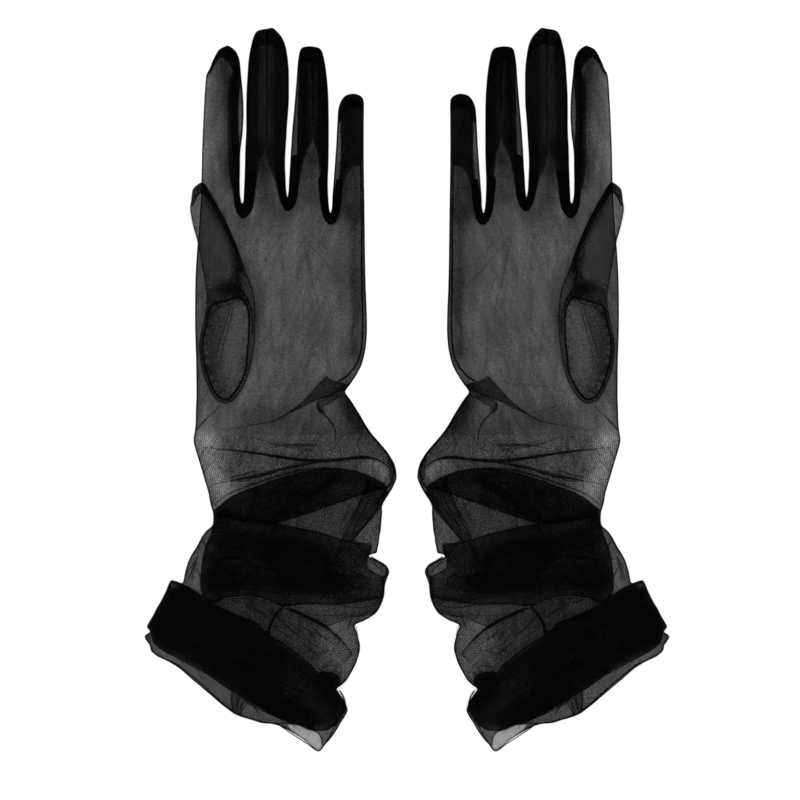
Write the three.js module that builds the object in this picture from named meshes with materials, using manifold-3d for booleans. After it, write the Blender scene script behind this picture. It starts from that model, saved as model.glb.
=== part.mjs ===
// A pair of sheer opera gloves, laid flat, palms up, with the arms pushed down into gathers.
// Units are millimetres. +Z is up from the surface that the gloves lie on, +Y runs from the arms to the fingertips,
// and X = 0 is the mirror plane between the two gloves. The origin is on the surface, under the middle of the pair.
import * as THREE from "three";
import { mergeVertices } from "three/addons/utils/BufferGeometryUtils.js";
import Module from "manifold-3d";

const wasm = await Module();
wasm.setup();

// ---------- driving dimensions ----------
const HAND_H = 7.2; // loft of the hand and fingers as they lie
const WALL = 0.9; // wall that stands for the cloth
const EDGE_H = 2.2; // height of the soft edge of the hand
const EDGE_W = 1.8; // width of the soft edge of the hand
const SEAM_W = 2.2; // depth of the side strips between palm and back
const GAP = 0.3; // clearance between neighbouring pieces
const HINGE_GAP = 0.4; // clearance each side of a fold line
const THUMB_Z0 = HAND_H + 0.5; // the thumb lies on the palm
const THUMB_Z1 = 14.4;
const WRIST_Y = -12.7; // fold line of the wrist
const THUMB_Y = 43.0; // fold line of the thumb
const INDEX_Y = 107.8; // fold lines of the fingers, at the first joint past the web
const MIDDLE_Y = 115.0;
const RING_Y = 111.1;
const LITTLE_Y = 101.5;
const INDEX_MIDDLE_X = -78.0; // planes that part the fingers
const MIDDLE_RING_X = -56.4;
const RING_LITTLE_X = -36.2;
const CUFF_A = [-108.7, -91.4]; // the line where the sleeve ends and the gathered cuff begins
const CUFF_B = [-30.5, -141.4];
const HEM_A = [-122.0, -126.2]; // the line where the cuff ends and the rolled hem begins
const HEM_B = [-42.6, -171.6];
const SLEEVE_WALL = 1.2;
const EDGE_ROUND = 5.0; // how far in from its side a sleeve's flat bottom starts

// outline of the left hand with its fingers, from the wrist up the index side and down the little-finger side
const HAND = [
  [-101, -22.3], [-100.6, -0.2], [-101.5, 28.6], [-101.3, 55], [-98.9, 91], [-97.2, 137], [-95.8, 152.4],
  [-92.9, 159.1], [-90.7, 163], [-88.6, 164.4], [-86.2, 164.9], [-83.8, 163.9], [-82.3, 162], [-80.9, 159.1],
  [-80.2, 154.3], [-78.7, 137], [-78.5, 131.3], [-80.4, 107.8], [-80.3, 94.8], [-79.9, 91], [-79.2, 89.3],
  [-78.5, 90.5], [-78.2, 94.8], [-77, 124.6], [-76.8, 142.8], [-75.6, 160.1], [-74.6, 165.4], [-73, 169.7],
  [-70.3, 171.8], [-64.1, 173.5], [-61.2, 170.6], [-58.8, 164.9], [-57.4, 158.2], [-56.9, 148.6], [-56.9, 137],
  [-58.7, 110.2], [-58, 95.8], [-57.4, 92.4], [-56.8, 95.8], [-55, 125.5], [-52.3, 156.2], [-51.6, 161.5],
  [-50.4, 163.9], [-46.8, 164.6], [-42.5, 163.9], [-40.8, 162], [-39.6, 157.2], [-38.6, 150.5], [-37.9, 140.9],
  [-37.7, 117.4], [-38.2, 99.6], [-37.4, 87.1], [-36.7, 84.7], [-36, 87.1], [-32.9, 134.2], [-31.7, 138],
  [-29.5, 140.9], [-25.7, 141.8], [-22.3, 140.9], [-20.9, 138.5], [-20.3, 61.2], [-19.4, 35.8], [-19.4, 26.2],
  [-20.2, 19], [-21.8, 12.2], [-24.2, 7.4], [-29.5, -0.7], [-23.3, -10.8], [-15.6, -22.3],
];
// outline of the thumb as it lies over the palm
const THUMB = [
  [-97.7, 99.4], [-100.6, 98.2], [-103, 95.8], [-103.9, 86.2], [-102.5, 78.5], [-100.6, 71.3], [-99.1, 63.6],
  [-96.2, 47.3], [-95.8, 41.5], [-99.1, 27.6], [-100.1, 19.9], [-99.6, 13.2], [-97.7, 6], [-94.8, -0.2],
  [-91.4, -4.6], [-87.6, -6.7], [-83.8, -5.3], [-80.4, -1.2], [-77.5, 4.6], [-75.4, 11.3], [-72.5, 26.2],
  [-72.2, 34.3], [-72.7, 42], [-74.2, 49.7], [-82.3, 75.1], [-86.2, 82.8], [-94.3, 96.2],
];
// the hole that the thumb is set into
const THUMB_HOLE = [
  [-81.8, 38.6], [-78.5, 34.3], [-77, 26.6], [-77, 19], [-78.5, 11.3], [-81.4, 4.1], [-84.7, -1.2],
  [-88.1, -3.1], [-91.4, -0.7], [-94.8, 4.6], [-97.2, 11.8], [-97.7, 19.4], [-96.2, 28.1], [-93.8, 34.3],
  [-89.5, 38.2], [-85.7, 39.6],
];
// stations down the sleeve: index-side edge x, y, little-finger-side edge x, y, height
const SLEEVE = [
  [-101, -9.8, -23.8, -9.8, 8.4], [-101.3, -14.6, -20.4, -15.6, 8.6], [-102, -25.7, -12.2, -24.7, 10.5],
  [-100.1, -32.4, -6, -33.8, 12.5], [-97.2, -41.5, -5, -39.6, 13.5], [-94.3, -53, -9.8, -50.2, 14.5],
  [-92.9, -62.2, -11.8, -58.8, 16], [-96.2, -68.4, -12.7, -67.9, 17], [-101, -76.6, -14.2, -77, 18],
  [-104.4, -82.8, -9.8, -86.6, 18], [-105.8, -88.1, -9.8, -97.2, 18], [-107.3, -92.4, -15.6, -107.8, 18],
  [-108.7, -95.3, -23.3, -120.2, 18], [-109.7, -97.2, -28.1, -140.4, 18],
];
// stations down the gathered cuff
const CUFF = [
  [-111.6, -88.6, -30, -138.5, 19], [-114, -92.9, -32.4, -143.3, 20], [-119.3, -103.9, -29.5, -149, 20],
  [-124.1, -115.4, -29, -155.3, 20], [-123.6, -121.7, -33.4, -163.9, 19], [-121.2, -127.4, -42.5, -173.5, 17],
  [-119.8, -130.8, -44.4, -176.4, 16],
];

// ---------- geometry helpers ----------
const solidOf = (geometry) => {
  const g = geometry.index ? geometry.toNonIndexed() : geometry.clone();
  for (const name of Object.keys(g.attributes)) if (name !== "position") g.deleteAttribute(name);
  const merged = mergeVertices(g, 1e-4);
  return new wasm.Manifold(
    new wasm.Mesh({
      numProp: 3,
      vertProperties: merged.attributes.position.array,
      triVerts: new Uint32Array(merged.index.array),
    }),
  );
};

const geometryOf = (solid) => {
  const m = solid.getMesh();
  const v = new Float32Array(m.numVert * 3);
  for (let i = 0; i < m.numVert; i++) v.set(m.vertProperties.subarray(i * m.numProp, i * m.numProp + 3), i * 3);
  const g = new THREE.BufferGeometry();
  g.setAttribute("position", new THREE.BufferAttribute(v, 3));
  g.setIndex(new THREE.BufferAttribute(new Uint32Array(m.triVerts), 1));
  g.computeVertexNormals();
  return g;
};

const shapeOf = (points) => new THREE.Shape(points.map(([x, y]) => new THREE.Vector2(x, y)));

// a plate of the outline, square-edged
const prism = (points, z0, z1) =>
  solidOf(new THREE.ExtrudeGeometry(shapeOf(points), { depth: z1 - z0, bevelEnabled: false }).translate(0, 0, z0));

// a soft-edged pad of the outline, drawn in by inset
const pad = (points, z0, z1, inset, edgeW, edgeH, steps = 2) =>
  solidOf(
    new THREE.ExtrudeGeometry(shapeOf(points), {
      depth: z1 - z0 - 2 * edgeH,
      bevelEnabled: true,
      bevelThickness: edgeH,
      bevelSize: edgeW,
      bevelOffset: -edgeW - inset,
      bevelSegments: steps,
    }).translate(0, 0, z0 + edgeH),
  );

// the outline drawn in by d, as a tall plate that parts a shell's flat panels from its side strips
const core = (points, d, z0 = -1, z1 = 40) =>
  solidOf(
    new THREE.ExtrudeGeometry(shapeOf(points), {
      depth: z1 - z0,
      bevelEnabled: true,
      bevelThickness: 0.01,
      bevelSize: 0.01,
      bevelOffset: -0.01 - d,
      bevelSegments: 1,
    }).translate(0, 0, z0),
  );

const box = (x0, x1, y0, y1, z0 = -2, z1 = 40) =>
  solidOf(
    new THREE.BoxGeometry(x1 - x0, y1 - y0, z1 - z0).translate((x0 + x1) / 2, (y0 + y1) / 2, (z0 + z1) / 2),
  );

// everything on the far side of the line a-b, moved on by shift, as a large block
const beyond = (a, b, shift) => {
  const along = new THREE.Vector2(b[0] - a[0], b[1] - a[1]).normalize();
  const out = new THREE.Vector2(along.y, -along.x);
  const mid = new THREE.Vector2((a[0] + b[0]) / 2, (a[1] + b[1]) / 2).addScaledVector(out, shift + 150);
  const g = new THREE.BoxGeometry(500, 300, 80);
  g.rotateZ(Math.atan2(along.y, along.x));
  g.translate(mid.x, mid.y, 20);
  return solidOf(g);
};

// section of a sleeve that lies on a surface: flat below, softly crowned above
const section = (half, height, inset) => {
  const a = half - inset,
    h = height - 2 * inset,
    e = Math.min(EDGE_ROUND, a * 0.4) / a;
  return [
    [-1 + e, 0], [-0.45, 0], [0, 0], [0.45, 0], [1 - e, 0], [1 - e / 3, 0.12], [1, 0.4], [1 - e / 4, 0.72],
    [1 - e, 0.9], [0.45, 0.98], [0, 1], [-0.45, 0.98], [-1 + e, 0.9], [-1 + e / 4, 0.72], [-1, 0.4],
    [-1 + e / 3, 0.12],
  ].map(([u, w]) => [u * a, inset + w * h]);
};

// a closed body through the sections of the stations
const loft = (stations, inset, grow) => {
  const rows = stations.map((s) => s.slice());
  if (grow) {
    for (const [i, j] of [[0, 1], [rows.length - 1, rows.length - 2]])
      for (let k = 0; k < 4; k++) rows[i][k] += (rows[i][k] - stations[j][k]) * grow;
  }
  const rings = rows.map(([lx, ly, rx, ry, h]) => {
    const half = Math.hypot(rx - lx, ry - ly) / 2,
      ux = (rx - lx) / (2 * half),
      uy = (ry - ly) / (2 * half);
    return section(half, h, inset).map(([u, z]) => [(lx + rx) / 2 + ux * u, (ly + ry) / 2 + uy * u, z]);
  });
  const n = rings[0].length,
    points = rings.flat(),
    faces = [];
  for (let r = 0; r + 1 < rings.length; r++)
    for (let k = 0; k < n; k++) {
      const a = r * n + k,
        b = r * n + ((k + 1) % n),
        c = a + n,
        d = b + n;
      faces.push(a, c, b, b, c, d);
    }
  const lid = THREE.ShapeUtils.triangulateShape(
    section(1, 1, 0).map(([u, z]) => new THREE.Vector2(u, z)),
    [],
  );
  const last = (rings.length - 1) * n;
  for (const [i, j, k] of lid) {
    faces.push(i, j, k);
    faces.push(last + i, last + k, last + j);
  }
  const g = new THREE.BufferGeometry();
  g.setAttribute("position", new THREE.BufferAttribute(new Float32Array(points.flat()), 3));
  g.setIndex(faces);
  const s = solidOf(g);
  if (s.volume() > 0) return s;
  for (let i = 0; i < faces.length; i += 3) [faces[i + 1], faces[i + 2]] = [faces[i + 2], faces[i + 1]];
  g.setIndex(faces);
  return solidOf(g);
};

// ---------- one glove, thumb towards -X, as named solids ----------
const pieces = {};
const keep = (name, solid) => {
  const bodies = solid.decompose().filter((b) => b.volume() > 1);
  pieces[name] = bodies.sort((a, b) => b.volume() - a.volume())[0];
};

// hand and fingers: one hollow shell, parted at its fold lines and into panels and side strips
const handShell = pad(HAND, 0, HAND_H, 0, EDGE_W, EDGE_H).subtract(
  pad(HAND, WALL, HAND_H - WALL, WALL, EDGE_W, EDGE_H - 0.4, 1),
);
const stripCore = core(HAND, SEAM_W);
const panelCore = core(HAND, SEAM_W + GAP);
const strips = handShell.subtract(stripCore);
const notPanel = box(-140, 0, -40, 190).subtract(panelCore);

const fingers = {
  index: { x: [-110, INDEX_MIDDLE_X], y: INDEX_Y, mid: -89.5, tip: 155 },
  middle: { x: [INDEX_MIDDLE_X, MIDDLE_RING_X], y: MIDDLE_Y, mid: -67.9, tip: 163 },
  ring: { x: [MIDDLE_RING_X, RING_LITTLE_X], y: RING_Y, mid: -46.8, tip: 156 },
  little: { x: [RING_LITTLE_X, -10], y: LITTLE_Y, mid: -28.1, tip: 133 },
};
const hole = prism(THUMB_HOLE, HAND_H - WALL - 1, THUMB_Z0 + WALL + 1);
let hand = handShell.subtract(box(-140, 0, -40, WRIST_Y + HINGE_GAP));
let handStrips = strips.subtract(box(-140, 0, -40, WRIST_Y + HINGE_GAP));
for (const f of Object.values(fingers)) {
  hand = hand.subtract(box(f.x[0], f.x[1], f.y - HINGE_GAP, 200));
  handStrips = handStrips.subtract(box(f.x[0], f.x[1], f.y - HINGE_GAP, 200));
}

// side strips of each finger: its fourchettes, and the seam on the little finger's free side
const sideStrips = {
  index: [["index_fourchette", fingers.index.mid, INDEX_MIDDLE_X]],
  middle: [
    ["middle_fourchette_index_side", INDEX_MIDDLE_X, fingers.middle.mid],
    ["middle_fourchette_ring_side", fingers.middle.mid, MIDDLE_RING_X],
  ],
  ring: [
    ["ring_fourchette_middle_side", MIDDLE_RING_X, fingers.ring.mid],
    ["ring_fourchette_little_side", fingers.ring.mid, RING_LITTLE_X],
  ],
  little: [
    ["little_fourchette", RING_LITTLE_X, fingers.little.mid],
    ["little_side_seam", fingers.little.mid, -10],
  ],
};
for (const [name, f] of Object.entries(fingers)) {
  const place = box(f.x[0], f.x[1], f.y + HINGE_GAP, 200);
  let panel = handShell.intersect(place);
  for (const [strip, x0, x1] of sideStrips[name]) {
    keep(strip, strips.intersect(place).intersect(box(x0, x1, f.y, f.tip)));
    panel = panel.subtract(notPanel.intersect(box(x0, x1, f.y - 1, f.tip + GAP)));
  }
  keep(name + "_trank", panel);
}

// the forks where two fourchettes meet in the crotch between two fingers
const forks = [
  ["index_middle_fork", fingers.index.mid, fingers.middle.mid, 84.6],
  ["middle_ring_fork", fingers.middle.mid, fingers.ring.mid, 87.6],
  ["ring_little_fork", fingers.ring.mid, fingers.little.mid, 79.9],
];
for (const [name, x0, x1, y0] of forks) {
  keep(name, handStrips.intersect(box(x0, x1, y0 + GAP, 130)));
  hand = hand.subtract(notPanel.intersect(box(x0, x1, y0, 130)));
}
// the seam that closes the little-finger side of the hand
const seamSide = [[-27.6, 110], [-10, 110], [-10, -20], [-38, -20], [-38, 6], [-27.6, 24]];
keep("hand_side_seam", handStrips.intersect(prism(seamSide, -2, 40)));
hand = hand.subtract(notPanel.intersect(prism(seamSide, -2, 40)));
keep("hand_trank", hand.subtract(hole));

// thumb: a stall set into the oval hole, parted at its fold line
const thumbShell = pad(THUMB, THUMB_Z0, THUMB_Z1, 0, 1.5, 1.9)
  .subtract(pad(THUMB, THUMB_Z0 + WALL, THUMB_Z1 - WALL, WALL, 1.5, 1.6, 1))
  .subtract(hole);
keep("thumb_gusset", thumbShell.subtract(box(-140, 0, THUMB_Y - HINGE_GAP, 200)));
const thumbTop = box(-140, 0, THUMB_Y + HINGE_GAP, 200);
const thumbSide = [[-72, 40], [-60, 40], [-60, 70], [-90, 101], [-93.5, 92], [-86, 78]];
keep("thumb_stall", thumbShell.intersect(thumbTop).subtract(
  prism(thumbSide, -2, 40).subtract(core(THUMB, SEAM_W + GAP))));
keep("thumb_side_seam", thumbShell.intersect(thumbTop).intersect(
  prism(thumbSide.map(([x, y]) => [x + 0.2, y]), -2, 40)).subtract(core(THUMB, SEAM_W)));
// the sewn rim that joins the thumb to the edge of its hole
keep("thumb_hole_seam", core(THUMB_HOLE, 0.3, HAND_H - WALL, THUMB_Z0 + WALL + 0.2).subtract(
  core(THUMB_HOLE, 1.5, 0, 30)));

// sleeve: one tube from the wrist to the cuff, closed by a seam along its little-finger side
const sleeveShell = loft(SLEEVE, 0, 0)
  .subtract(loft(SLEEVE, SLEEVE_WALL, 0.5))
  .subtract(box(-140, 10, WRIST_Y - HINGE_GAP, 60))
  .subtract(beyond(CUFF_A, CUFF_B, 0));
const seamLine = SLEEVE.map((s) => [s[2], s[3]]);
const seamZone = (d) => prism([...seamLine.map(([x, y]) => [x - d, y]), [10, -150], [10, -5]], -2, 40);
keep("sleeve_side_seam", sleeveShell.intersect(seamZone(3.2)));
keep("sleeve_tube", sleeveShell.subtract(seamZone(3.2 + GAP)));

// cuff: the gathered end of the sleeve, with its rolled hem around the mouth
const cuffShell = loft(CUFF, 0, 0)
  .subtract(loft(CUFF, SLEEVE_WALL + 0.2, 0.5))
  .intersect(beyond(CUFF_A, CUFF_B, 0.8));
keep("gathered_cuff", cuffShell.subtract(beyond(HEM_A, HEM_B, 0)));
keep("rolled_hem", cuffShell.intersect(beyond(HEM_A, HEM_B, GAP)).subtract(beyond(HEM_A, HEM_B, 2.4)));

// ---------- materials ----------
const tulle = new THREE.MeshStandardMaterial({ color: 0x0b0b0b, roughness: 0.82, metalness: 0, transparent: true, opacity: 0.72 });
const gusset = new THREE.MeshStandardMaterial({ color: 0x080808, roughness: 0.85, metalness: 0, transparent: true, opacity: 0.9 });
const thread = new THREE.MeshStandardMaterial({ color: 0x050505, roughness: 0.55, metalness: 0 });
const materialOf = (name) =>
  /seam|hem/.test(name) ? thread : /fourchette|fork/.test(name) ? gusset : tulle;

// ---------- the pair ----------
const pair = new THREE.Group();
const glove = (side) => {
  const g = new THREE.Group();
  for (const [name, solid] of Object.entries(pieces)) {
    const mesh = new THREE.Mesh(geometryOf(solid), materialOf(name));
    mesh.name = side + "_" + name;
    g.add(mesh);
  }
  return g;
};
const left = glove("left");
const right = glove("right");
right.scale.x = -1; // the right glove is the left one mirrored
pair.add(left, right);

export default pair;
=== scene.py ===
import bpy
import math
import numpy as np
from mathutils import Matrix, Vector
from mathutils.geometry import delaunay_2d_cdt


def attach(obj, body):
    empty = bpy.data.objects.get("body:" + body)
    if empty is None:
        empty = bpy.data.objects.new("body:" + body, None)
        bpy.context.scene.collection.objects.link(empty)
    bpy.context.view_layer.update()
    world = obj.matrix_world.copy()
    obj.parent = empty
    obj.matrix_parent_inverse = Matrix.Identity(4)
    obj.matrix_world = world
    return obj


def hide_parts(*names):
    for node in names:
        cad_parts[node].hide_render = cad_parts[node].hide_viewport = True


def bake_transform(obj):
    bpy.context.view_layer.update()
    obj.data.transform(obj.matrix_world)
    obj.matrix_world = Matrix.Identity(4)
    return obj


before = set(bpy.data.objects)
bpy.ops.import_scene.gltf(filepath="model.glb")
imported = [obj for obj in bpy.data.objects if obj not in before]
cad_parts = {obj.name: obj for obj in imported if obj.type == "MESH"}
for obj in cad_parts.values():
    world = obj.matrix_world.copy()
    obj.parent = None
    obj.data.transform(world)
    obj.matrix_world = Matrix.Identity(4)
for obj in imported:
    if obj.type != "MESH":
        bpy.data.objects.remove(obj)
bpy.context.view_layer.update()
RNG = np.random.default_rng(7)

# ------------------------------------------------------------------ outlines of the left glove, in mm
OUTLINE = [(-101.28, -9.84), (-101.04, -4.08), (-101.04, 1.68), (-101.18, 14.16), (-101.62, 28.56), (-101.66, 42.96), (-101.42, 54.96), (-100.70, 66.96), (-99.74, 78.96), (-99.02, 90.96), (-98.54, 102.96), (-98.30, 114.96), (-97.82, 126.96), (-97.34, 137.04), (-96.86, 144.72), (-96.24, 150.96), (-94.80, 153.84), (-93.36, 157.44), (-91.92, 160.42), (-90.48, 162.86), (-89.04, 163.92), (-87.60, 164.59), (-86.16, 165.12), (-84.72, 164.50), (-83.28, 163.54), (-81.84, 161.81), (-80.40, 158.16), (-79.58, 150.48), (-78.67, 140.40), (-78.48, 131.28), (-78.96, 122.64), (-79.92, 114.96), (-80.30, 107.76), (-80.30, 100.56), (-80.21, 94.80), (-79.82, 91.44), (-79.20, 89.28), (-78.48, 90.48), (-78.24, 94.80), (-78.00, 100.56), (-77.76, 107.76), (-77.62, 114.96), (-77.14, 124.56), (-77.14, 134.16), (-76.99, 142.80), (-76.42, 152.40), (-75.74, 160.08), (-74.16, 167.76), (-72.72, 171.26), (-71.28, 172.37), (-69.84, 172.80), (-68.40, 173.04), (-66.96, 173.23), (-65.52, 173.57), (-64.08, 173.42), (-62.64, 172.08), (-61.20, 170.64), (-59.76, 168.58), (-58.32, 164.98), (-57.36, 159.60), (-56.74, 152.88), (-56.69, 144.72), (-56.78, 137.04), (-57.46, 128.40), (-57.98, 119.76), (-58.56, 110.16), (-58.32, 101.52), (-58.03, 95.76), (-57.36, 92.40), (-56.78, 95.76), (-56.50, 101.52), (-56.06, 107.76), (-55.68, 114.96), (-54.96, 125.52), (-54.00, 136.08), (-53.14, 146.64), (-52.42, 156.24), (-51.65, 161.52), (-50.45, 164.02), (-46.80, 164.78), (-42.48, 164.06), (-40.70, 162.14), (-39.50, 157.20), (-38.54, 150.48), (-37.78, 140.88), (-37.58, 129.36), (-37.58, 117.36), (-37.73, 107.76), (-38.06, 99.60), (-37.87, 92.88), (-37.44, 87.12), (-36.72, 84.72), (-36.00, 87.12), (-35.76, 92.88), (-35.14, 100.56), (-34.61, 107.76), (-33.94, 117.36), (-33.46, 126.96), (-32.98, 134.16), (-31.78, 138.19), (-29.52, 141.07), (-25.68, 142.03), (-22.32, 140.98), (-20.78, 138.48), (-20.78, 126.96), (-20.78, 110.16), (-20.54, 93.36), (-20.30, 76.56), (-20.11, 61.20), (-19.78, 47.76), (-19.30, 35.76), (-19.30, 26.16), (-20.02, 18.96), (-21.70, 12.24), (-24.10, 7.44), (-26.88, 3.12), (-29.71, -1.01), (-27.74, -4.08), (-25.78, -6.96), (-24.00, -9.84), (-22.22, -12.72), (-20.64, -15.60), (-18.82, -18.48), (-16.75, -21.36), (-14.30, -24.24), (-11.76, -27.12), (-9.41, -30.00), (-7.54, -32.88), (-6.05, -35.76), (-5.18, -39.12), (-5.04, -42.48), (-6.10, -45.36), (-7.01, -47.28), (-8.74, -50.16), (-10.66, -53.04), (-11.95, -55.92), (-11.95, -58.80), (-12.10, -61.68), (-12.38, -64.56), (-12.62, -67.44), (-13.20, -70.32), (-13.49, -73.20), (-14.11, -76.08), (-14.64, -78.29), (-17.28, -79.06), (-18.19, -80.11), (-14.78, -81.94), (-9.74, -84.72), (-8.54, -87.60), (-9.55, -90.48), (-10.51, -93.36), (-10.75, -96.24), (-11.04, -99.12), (-11.95, -102.00), (-13.30, -104.88), (-15.50, -107.76), (-20.06, -110.64), (-25.06, -113.04), (-24.05, -116.40), (-23.33, -119.28), (-22.61, -122.16), (-22.61, -125.04), (-23.33, -127.92), (-24.24, -130.80), (-25.58, -133.68), (-27.22, -136.56), (-28.94, -139.44), (-31.44, -141.84), (-33.74, -143.57), (-32.88, -145.20), (-30.82, -148.08), (-29.33, -150.96), (-28.51, -153.84), (-29.71, -156.72), (-31.63, -159.60), (-33.26, -162.48), (-35.09, -165.36), (-37.30, -168.24), (-40.08, -171.12), (-41.81, -173.14), (-42.96, -173.42), (-44.30, -172.56), (-46.22, -170.74), (-49.78, -167.86), (-54.58, -164.88), (-59.52, -162.10), (-63.60, -160.66), (-67.44, -160.08), (-70.32, -159.65), (-75.12, -158.35), (-80.02, -156.86), (-83.28, -155.38), (-85.20, -153.98), (-89.04, -151.06), (-92.35, -148.18), (-95.71, -145.30), (-99.07, -142.42), (-102.62, -139.54), (-105.84, -136.66), (-109.25, -133.78), (-113.81, -130.90), (-119.66, -128.02), (-122.83, -125.33), (-123.50, -122.64), (-125.42, -119.95), (-125.90, -118.32), (-124.56, -117.07), (-123.31, -116.21), (-124.32, -114.72), (-124.80, -113.52), (-123.26, -110.64), (-121.58, -107.76), (-120.19, -104.88), (-118.37, -102.00), (-116.93, -99.12), (-115.54, -96.24), (-114.38, -93.36), (-113.04, -91.44), (-110.16, -92.16), (-107.62, -92.64), (-106.51, -87.60), (-105.70, -84.72), (-104.69, -81.84), (-103.25, -78.96), (-101.38, -76.08), (-99.79, -73.20), (-98.26, -70.32), (-96.29, -67.73), (-94.18, -66.00), (-93.07, -64.32), (-92.88, -61.68), (-93.12, -58.80), (-94.03, -55.92), (-94.70, -53.04), (-95.14, -50.16), (-95.90, -47.28), (-97.49, -42.00), (-99.60, -34.80), (-101.52, -28.56), (-102.43, -24.24), (-101.90, -20.40), (-101.42, -15.60)]
THUMB = [(-97.68, 99.36), (-100.56, 98.16), (-102.72, 95.76), (-103.34, 90.96), (-103.92, 86.16), (-102.48, 78.48), (-100.56, 71.28), (-99.12, 63.60), (-97.68, 55.44), (-96.24, 47.28), (-96.14, 41.52), (-97.01, 35.28), (-98.74, 27.60), (-99.60, 20.88), (-99.31, 15.12), (-97.97, 8.40), (-95.47, 1.68), (-92.50, -3.74), (-89.04, -6.38), (-86.16, -6.77), (-82.90, -5.04), (-79.63, -0.72), (-76.75, 4.66), (-75.12, 9.84), (-74.45, 13.20), (-73.58, 18.00), (-72.82, 23.76), (-72.53, 31.92), (-72.62, 40.08), (-73.49, 46.80), (-75.46, 52.56), (-77.71, 57.84), (-79.82, 64.08), (-82.56, 71.28), (-85.68, 78.00), (-89.86, 86.16), (-94.56, 94.80)]
OVAL = [(-80.16, 43.92), (-78.00, 42.48), (-76.27, 39.12), (-75.60, 34.32), (-75.70, 28.56), (-75.79, 23.76), (-76.37, 18.96), (-76.75, 15.60), (-76.75, 12.72), (-77.23, 9.84), (-78.67, 5.52), (-81.36, 0.48), (-84.05, -3.12), (-86.35, -4.56), (-88.85, -4.08), (-91.44, -1.87), (-94.03, 3.12), (-96.14, 9.36), (-97.49, 15.12), (-97.97, 20.88), (-97.20, 26.64), (-95.76, 32.40), (-94.99, 37.20), (-93.60, 40.08), (-90.96, 41.28), (-87.12, 42.24), (-83.76, 43.20)]
# the palm side of the mouth stops short of the back there
TOP_CUT = [(-57.36, -160.66), (-54.00, -160.75), (-50.64, -161.04), (-46.32, -162.72), (-42.72, -164.16), (-40.90, -167.28), (-40.66, -170.64), (-41.04, -174.00), (-45.36, -175.92), (-49.68, -170.16), (-54.00, -164.88)]

# the lines that part the fabric into pieces: fingers, wrist and cuff
CUT = {"index": 100.27, "middle": 107.47, "ring": 103.63, "little": 94.03}
FINGER_X = {"index": (-130.0, -78.38), "middle": (-78.38, -56.88), "ring": (-56.88, -35.76), "little": (-35.76, 0.0)}
HINGE = {"index": 107.8, "middle": 115.0, "ring": 111.1, "little": 101.5}
WRIST_CUT = -22.0
THUMB_Y = 43.0
CUFF_A = np.array([-108.7, -91.4])
CUFF_B = np.array([-30.5, -141.4])
CUFF_DIR = np.array([-0.536, -0.844])


def arr(points):
    return np.array(points, float)


def smooth_line(points, step, closed=False):
    """Points about step apart on a rounded line through the given ones."""
    p = arr(points)
    q = np.vstack([p[-1], p, p[0], p[1]]) if closed else np.vstack([2 * p[0] - p[1], p, 2 * p[-1] - p[-2]])
    out = []
    for i in range(1, len(q) - 2):
        a, b, c, d = q[i - 1], q[i], q[i + 1], q[i + 2]
        n = max(1, int(math.ceil(np.linalg.norm(c - b) / step)))
        for k in range(n):
            t = k / n
            m0, m1 = (c - a) * 0.42, (d - b) * 0.42
            # short neighbours keep the curve from overshooting at corners
            lim = np.linalg.norm(c - b) * 1.1
            for m in (m0, m1):
                L = np.linalg.norm(m)
                if L > lim:
                    m *= lim / L
            t2, t3 = t * t, t * t * t
            out.append((2 * t3 - 3 * t2 + 1) * b + (t3 - 2 * t2 + t) * m0 + (-2 * t3 + 3 * t2) * c + (t3 - t2) * m1)
    if not closed:
        out.append(p[-1])
    return np.array(out)


def dist_to(points, line, closed=True):
    """How far each point is from the line."""
    a, b = (line, np.roll(line, -1, axis=0)) if closed else (line[:-1], line[1:])
    best = np.full(len(points), 1e9)
    if not len(points):
        return best
    ab = b - a
    mid = (a + b) / 2
    reach = float(np.linalg.norm(ab, axis=1).max()) / 2
    L = np.maximum((ab * ab).sum(1), 1e-12)
    # points are taken tile by tile, each against the few segments that can be nearest
    size = 8.0
    key = np.floor(points / size).astype(np.int64)
    code = key[:, 0] * 100003 + key[:, 1]
    order = np.argsort(code, kind="stable")
    starts = np.concatenate([[0], np.nonzero(np.diff(code[order]))[0] + 1, [len(order)]])
    for s, e in zip(starts[:-1], starts[1:]):
        k = order[s:e]
        p = points[k]
        c = (key[k[0]] + 0.5) * size
        dm = np.linalg.norm(mid - c, axis=1)
        near = dm <= dm.min() + 2 * reach + 2 * size * 0.7072
        ap = p[:, None, :] - a[near][None]
        t = np.clip((ap * ab[near][None]).sum(2) / L[near][None], 0, 1)
        d = ap - t[..., None] * ab[near][None]
        best[k] = np.sqrt((d * d).sum(2).min(1))
    return best


def inside(points, poly):
    x, y = points[:, 0], points[:, 1]
    res = np.zeros(len(points), bool)
    a, b = poly, np.roll(poly, -1, axis=0)
    for (x0, y0), (x1, y1) in zip(a, b):
        cond = (y0 > y) != (y1 > y)
        if y0 != y1:
            res ^= cond & (x < (x1 - x0) * (y - y0) / (y1 - y0) + x0)
    return res


def prof(t):
    t = np.clip(t, 0, 1)
    return np.sqrt(np.maximum(0, 1 - (1 - t) ** 2))


def step01(t):
    t = np.clip(t, 0, 1)
    return t * t * (3 - 2 * t)


_waves = RNG.normal(size=(64, 2))
_phase = RNG.uniform(0, 2 * math.pi, 64)


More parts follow.
